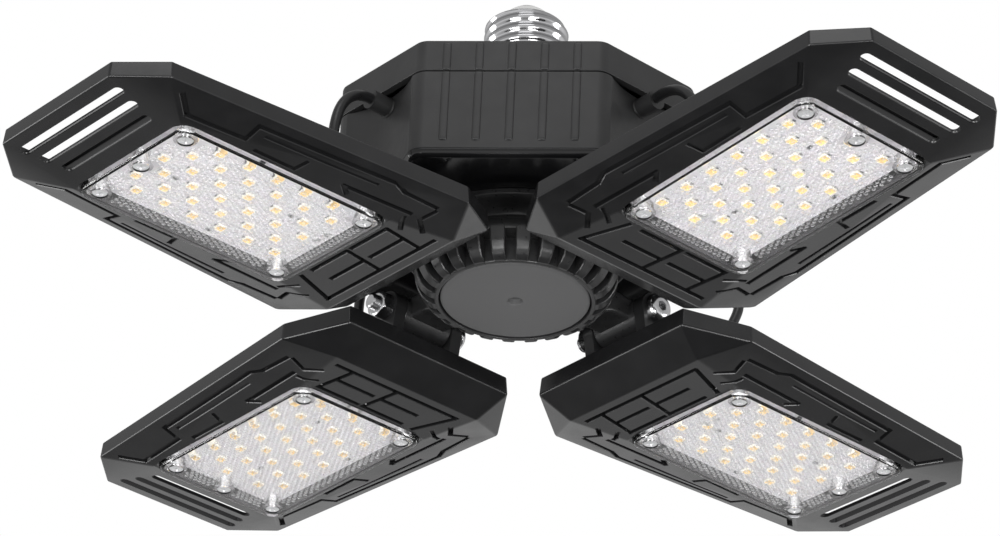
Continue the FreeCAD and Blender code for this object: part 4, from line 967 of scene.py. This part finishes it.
def board_mesh(k):
    acc = Acc()
    m = 2.0
    x0, x1, y = LENS_IN + m, LENS_IN + LENS_LEN - m, LENS_HALF - m
    acc.add(*loft([rrect(x0, x1, y, 1.0, Z_PCB + 1.62, 3), rrect(x0, x1, y, 1.0, Z_PCB + 0.08, 3), rrect(x0 + 0.08, x1 - 0.08, y - 0.08, 0.95, Z_PCB, 3)]), 0)
    rnd = random.Random(7)

    def block(u, v, a, b, h, mat):
        def q(e, z):
            return [(px, py + v, z) for px, py, _ in rrect(u - a + e, u + a - e, b - e, min(a, b) * 0.2, 0, 2)]
        acc.add(*loft([q(0, Z_PCB + 0.02), q(0, Z_PCB - h + 0.04), q(0.04, Z_PCB - h)]), mat)
    for u, v in led_places():
        block(u - 1.75, v, 0.35, 1.25, 0.06, 1)
        block(u + 1.75, v, 0.35, 1.25, 0.06, 1)
        # painted shadow: a small dark block at each LED's outer end stands in for the shadow of the LED's leads, in the
        # chip material
        block(u + 1.9, v + 0.3, 0.22, 0.55, 0.3, 2)
    for u, v in ((100.5, -19.4), (112.0, 19.2), (88.4, 3.2), (124.6, -3.4)):
        block(u, v, 0.8, 0.5, 0.45, 2)
        block(u - 1.1, v, 0.25, 0.5, 0.2, 1)
        block(u + 1.1, v, 0.25, 0.5, 0.2, 1)
    # solder joints of the two leads
    for v in (-2.2, 2.2):
        acc.add(*turn([(0, Z_PCB + 0.1), (1.2, Z_PCB + 0.1), (1.15, Z_PCB - 0.2), (0.8, Z_PCB - 0.6), (0.35, Z_PCB - 0.85), (0, Z_PCB - 0.9)], 16), 1, Matrix.Translation((GROM[k] + 4.6, v, 0)))
    return acc.mesh("light_board", [BOARD, SOLDER, CHIP_BODY_AND_PAINTED_SHADOW], 30)


def lens_screw_mesh():
    acc = Acc()
    for i, (u, v) in enumerate(SCREWS):
        T = Matrix.Translation((u, v, 0)) @ Matrix.Rotation(0.5 + 0.9 * i, 4, "Z")
        z = Z_LENS + 0.2
        n = 40
        cross = []
        for j in range(n):
            a = 2 * math.pi * j / n
            c = max(abs(math.cos(a)), abs(math.sin(a)))
            s = min(abs(math.cos(a)), abs(math.sin(a)))
            r = 1.25 if s < 0.2 else max(0.42, 0.26 / s)
            cross.append(min(1.25, r))

        def lp(rs, zz):
            return [(r * math.cos(2 * math.pi * j / n), r * math.sin(2 * math.pi * j / n), zz) for j, r in enumerate(rs)]
        acc.add(*loft([lp([1.2] * n, -63.0), lp([1.25] * n, z + 1.0), lp([2.3] * n, z + 1.0), lp([2.3] * n, z + 0.45), lp([2.2] * n, z + 0.2), lp([1.95] * n, z + 0.04), lp([1.6] * n, z),
                       lp([c * 1.02 for c in cross], z), lp([c * 0.8 for c in cross], z + 0.5), lp([0.15] * n, z + 0.6)]), 0, T)
    return acc.mesh("lens_screws", [SCREW_ZINC], 32)


# ------------------------------------------------------------------ hinge fasteners
def bolt_mesh():
    """pan head with a hexagon socket, shank and a threaded end; along +Y in the blade's millimetres"""
    acc = Acc()
    n = 48
    e1 = 13.3
    T = Matrix.Translation((HINGE_U, 0, HINGE_Z)) @ Matrix.Rotation(math.radians(-90), 4, "X")

    def ring(r, z):
        return [(r * math.cos(2 * math.pi * j / n), r * math.sin(2 * math.pi * j / n), z) for j in range(n)]

    def hexa(r, z):
        out = []
        for j in range(n):
            a = 2 * math.pi * j / n
            d = (a + math.pi / 6) % (math.pi / 3) - math.pi / 6
            rr = r * math.cos(math.pi / 6) / math.cos(d)
            out.append((rr * math.cos(a), rr * math.sin(a), z))
        return out
    loops = [hexa(0.3, -e1 - 1.5), hexa(1.7, -e1 - 1.6), hexa(1.75, -e1 - 3.1), ring(2.25, -e1 - 3.2), ring(2.9, -e1 - 3.15), ring(3.6, -e1 - 2.85), ring(4.15, -e1 - 2.3), ring(4.45, -e1 - 1.6),
             ring(4.6, -e1 - 0.8), ring(4.6, -e1 - 0.15), ring(4.45, -e1), ring(2.5, -e1), ring(2.5, e1 + 0.2)]
    z = e1 + 0.2
    while z < e1 + 5.6:
        loops += [ring(2.22, z + 0.2), ring(2.5, z + 0.4)]
        z += 0.4
    loops += [ring(2.2, e1 + 6.05), ring(1.8, e1 + 6.3)]
    acc.add(*loft(loops), 0, T)
    return acc.mesh("hinge_bolt", [STEEL], 32)


def nut_mesh():
    acc = Acc()
    n = 48
    e1 = 13.3
    T = Matrix.Translation((HINGE_U, 0, HINGE_Z)) @ Matrix.Rotation(math.radians(-90), 4, "X")

    def ring(r, z):
        return [(r * math.cos(2 * math.pi * j / n), r * math.sin(2 * math.pi * j / n), z) for j in range(n)]

    def hexa(z, cut):
        out = []
        for j in range(n):
            a = 2 * math.pi * j / n
            d = (a + math.pi / 6) % (math.pi / 3) - math.pi / 6
            rr = min(4.0 / math.cos(d), 4.6 - cut)
            out.append((rr * math.cos(a), rr * math.sin(a), z))
        return out
    acc.add(*loft([ring(2.51, e1), ring(4.1, e1), hexa(e1 + 0.1, 0.45), hexa(e1 + 0.4, 0.0), hexa(e1 + 3.2, 0.0), hexa(e1 + 3.6, 0.4), ring(3.95, e1 + 3.75), ring(3.1, e1 + 4.0), ring(2.51, e1 + 3.85)], ring=True), 0, T)
    return acc.mesh("hinge_nut", [STEEL], 32)


def placed(me, M):
    """a copy of the mesh with its place baked in"""
    me = me.copy()
    me.transform(M)
    return me


BEZEL, COVER, BOSSES, PRISMS, LEDS, LSCREWS, BOLT, NUT = bezel_mesh(), lens_mesh(), boss_mesh(), dome_mesh(), led_mesh(), lens_screw_mesh(), bolt_mesh(), nut_mesh()
for k in "abcd":
    body = "blade_" + k
    M = blade_matrix(k)
    piece("blade_%s_bezel" % k, placed(BEZEL, M), body, ("blade_%s_frame" % k,))
    for ob in (piece("blade_%s_cover" % k, placed(COVER, M), body, ("blade_%s_lens" % k,), wn=False),
               piece("blade_%s_cover_bosses" % k, BOSSES.copy(), body, (), M, wn=False),
               piece("blade_%s_cover_prisms" % k, PRISMS.copy(), body, (), M, wn=False)):
        ob.visible_shadow = False
    piece("blade_%s_emitters" % k, LEDS.copy(), body, ("blade_%s_leds" % k,), M, wn=False)
    piece("blade_%s_light_board" % k, board_mesh(k), body, ("blade_%s_led_board" % k,), M, wn=False)
    piece("blade_%s_cover_screws" % k, LSCREWS.copy(), body, ("blade_%s_lens_screws" % k,), M, wn=False)
    piece("hinge_%s_cap_bolt" % k, BOLT.copy(), body, ("hinge_%s_bolt" % k,), M, wn=False)
    piece("hinge_%s_hex_nut" % k, NUT.copy(), body, ("hinge_%s_nut" % k,), M, wn=False)

# ------------------------------------------------------------------ finishes of the CAD nodes that stay
KEEP = {"housing_screws": DARK_STEEL, "driver_board": GREEN, "transformer": FERRITE, "capacitors": SLEEVE, "hub_screws": DARK_STEEL, "cable_glands": RUBBER}
for k in "abcd":
    KEEP["blade_%s_heat_sink" % k] = SINK_BLACK
    KEEP["blade_%s_lens_gasket" % k] = RUBBER
    KEEP["blade_%s_grommet" % k] = RUBBER
for name, m in KEEP.items():
    ob = nodes[name]
    if not ob.data.materials:
        ob.data.materials.append(m)
    for s in ob.material_slots:
        s.material = m


# ------------------------------------------------------------------ stage and light
def plain(name, colour, emit=0.0):
    m, nt, bsdf = principled(name)
    bsdf.inputs["Base Color"].default_value = (*colour, 1)
    bsdf.inputs["Roughness"].default_value = 0.9
    if emit:
        bsdf.inputs["Base Color"].default_value = (0, 0, 0, 1)
        bsdf.inputs["Specular IOR Level"].default_value = 0.0
        bsdf.inputs["Emission Color"].default_value = (*colour, 1)
        bsdf.inputs["Emission Strength"].default_value = emit
    return m


# a white backdrop all round, seen by the camera only
me = bpy.data.meshes.new("backdrop")
bm = bmesh.new()
bmesh.ops.create_icosphere(bm, subdivisions=3, radius=9.0)
bmesh.ops.reverse_faces(bm, faces=bm.faces)
bm.to_mesh(me)
bm.free()
me.materials.append(plain("backdrop_white", (1, 1, 1), 1.0))
dome = bpy.data.objects.new("backdrop", me)
scene.collection.objects.link(dome)
dome.visible_diffuse = False
dome.visible_glossy = False
dome.visible_transmission = False
dome.visible_shadow = False

world = bpy.data.worlds.new("studio")
scene.world = world
world.use_nodes = True
bg = world.node_tree.nodes["Background"]
wn, wl = world.node_tree.nodes, world.node_tree.links
wt = wn.new("ShaderNodeTexCoord")
ws = wn.new("ShaderNodeSeparateXYZ")
wl.new(wt.outputs["Generated"], ws.inputs["Vector"])
wm = wn.new("ShaderNodeMapRange")
wm.inputs["From Min"].default_value = -1.0
wm.inputs["From Max"].default_value = 1.0
wl.new(ws.outputs["Z"], wm.inputs["Value"])
wr = wn.new("ShaderNodeValToRGB")
els = wr.color_ramp.elements
els[0].position, els[0].color = 0.0, (0.05, 0.05, 0.05, 1)
els[1].position, els[1].color = 1.0, (0.42, 0.42, 0.42, 1)
for pos, v in ((0.09, 0.05), (0.235, 0.50), (0.395, 1.0), (0.6, 0.5)):
    e = els.new(pos)
    e.color = (v, v, v, 1)
wl.new(wm.outputs["Result"], wr.inputs["Fac"])
wl.new(wr.outputs["Color"], bg.inputs["Color"])
bg.inputs["Strength"].default_value = 1.0


def area(name, pos, target, size, power, size_y=None):
    d = bpy.data.lights.new(name, "AREA")
    d.shape = "RECTANGLE"
    d.size = size
    d.size_y = size_y or size
    d.energy = power
    ob = bpy.data.objects.new(name, d)
    ob.location = pos
    ob.rotation_mode = "QUATERNION"
    ob.rotation_quaternion = (Vector(target) - Vector(pos)).to_track_quat("-Z", "Y")
    ob.visible_camera = False
    scene.collection.objects.link(ob)
    return ob


area("key_low_left", (-0.62, -1.24, -0.98), (0, 0, -0.07), 0.66, 12.5)
area("key_low_right", (0.62, -1.24, -0.98), (0, 0, -0.07), 0.66, 12.0)
area("side_left", (-1.6, 0.1, -0.25), (0, 0, -0.06), 0.5, 7.0, 0.9)
area("side_right", (1.6, 0.1, -0.25), (0, 0, -0.06), 0.5, 7.0, 0.9)
area("top_front", (0.0, -1.2, 1.3), (0, 0, 0), 1.0, 5.0)

scene.view_settings.view_transform = "Standard"
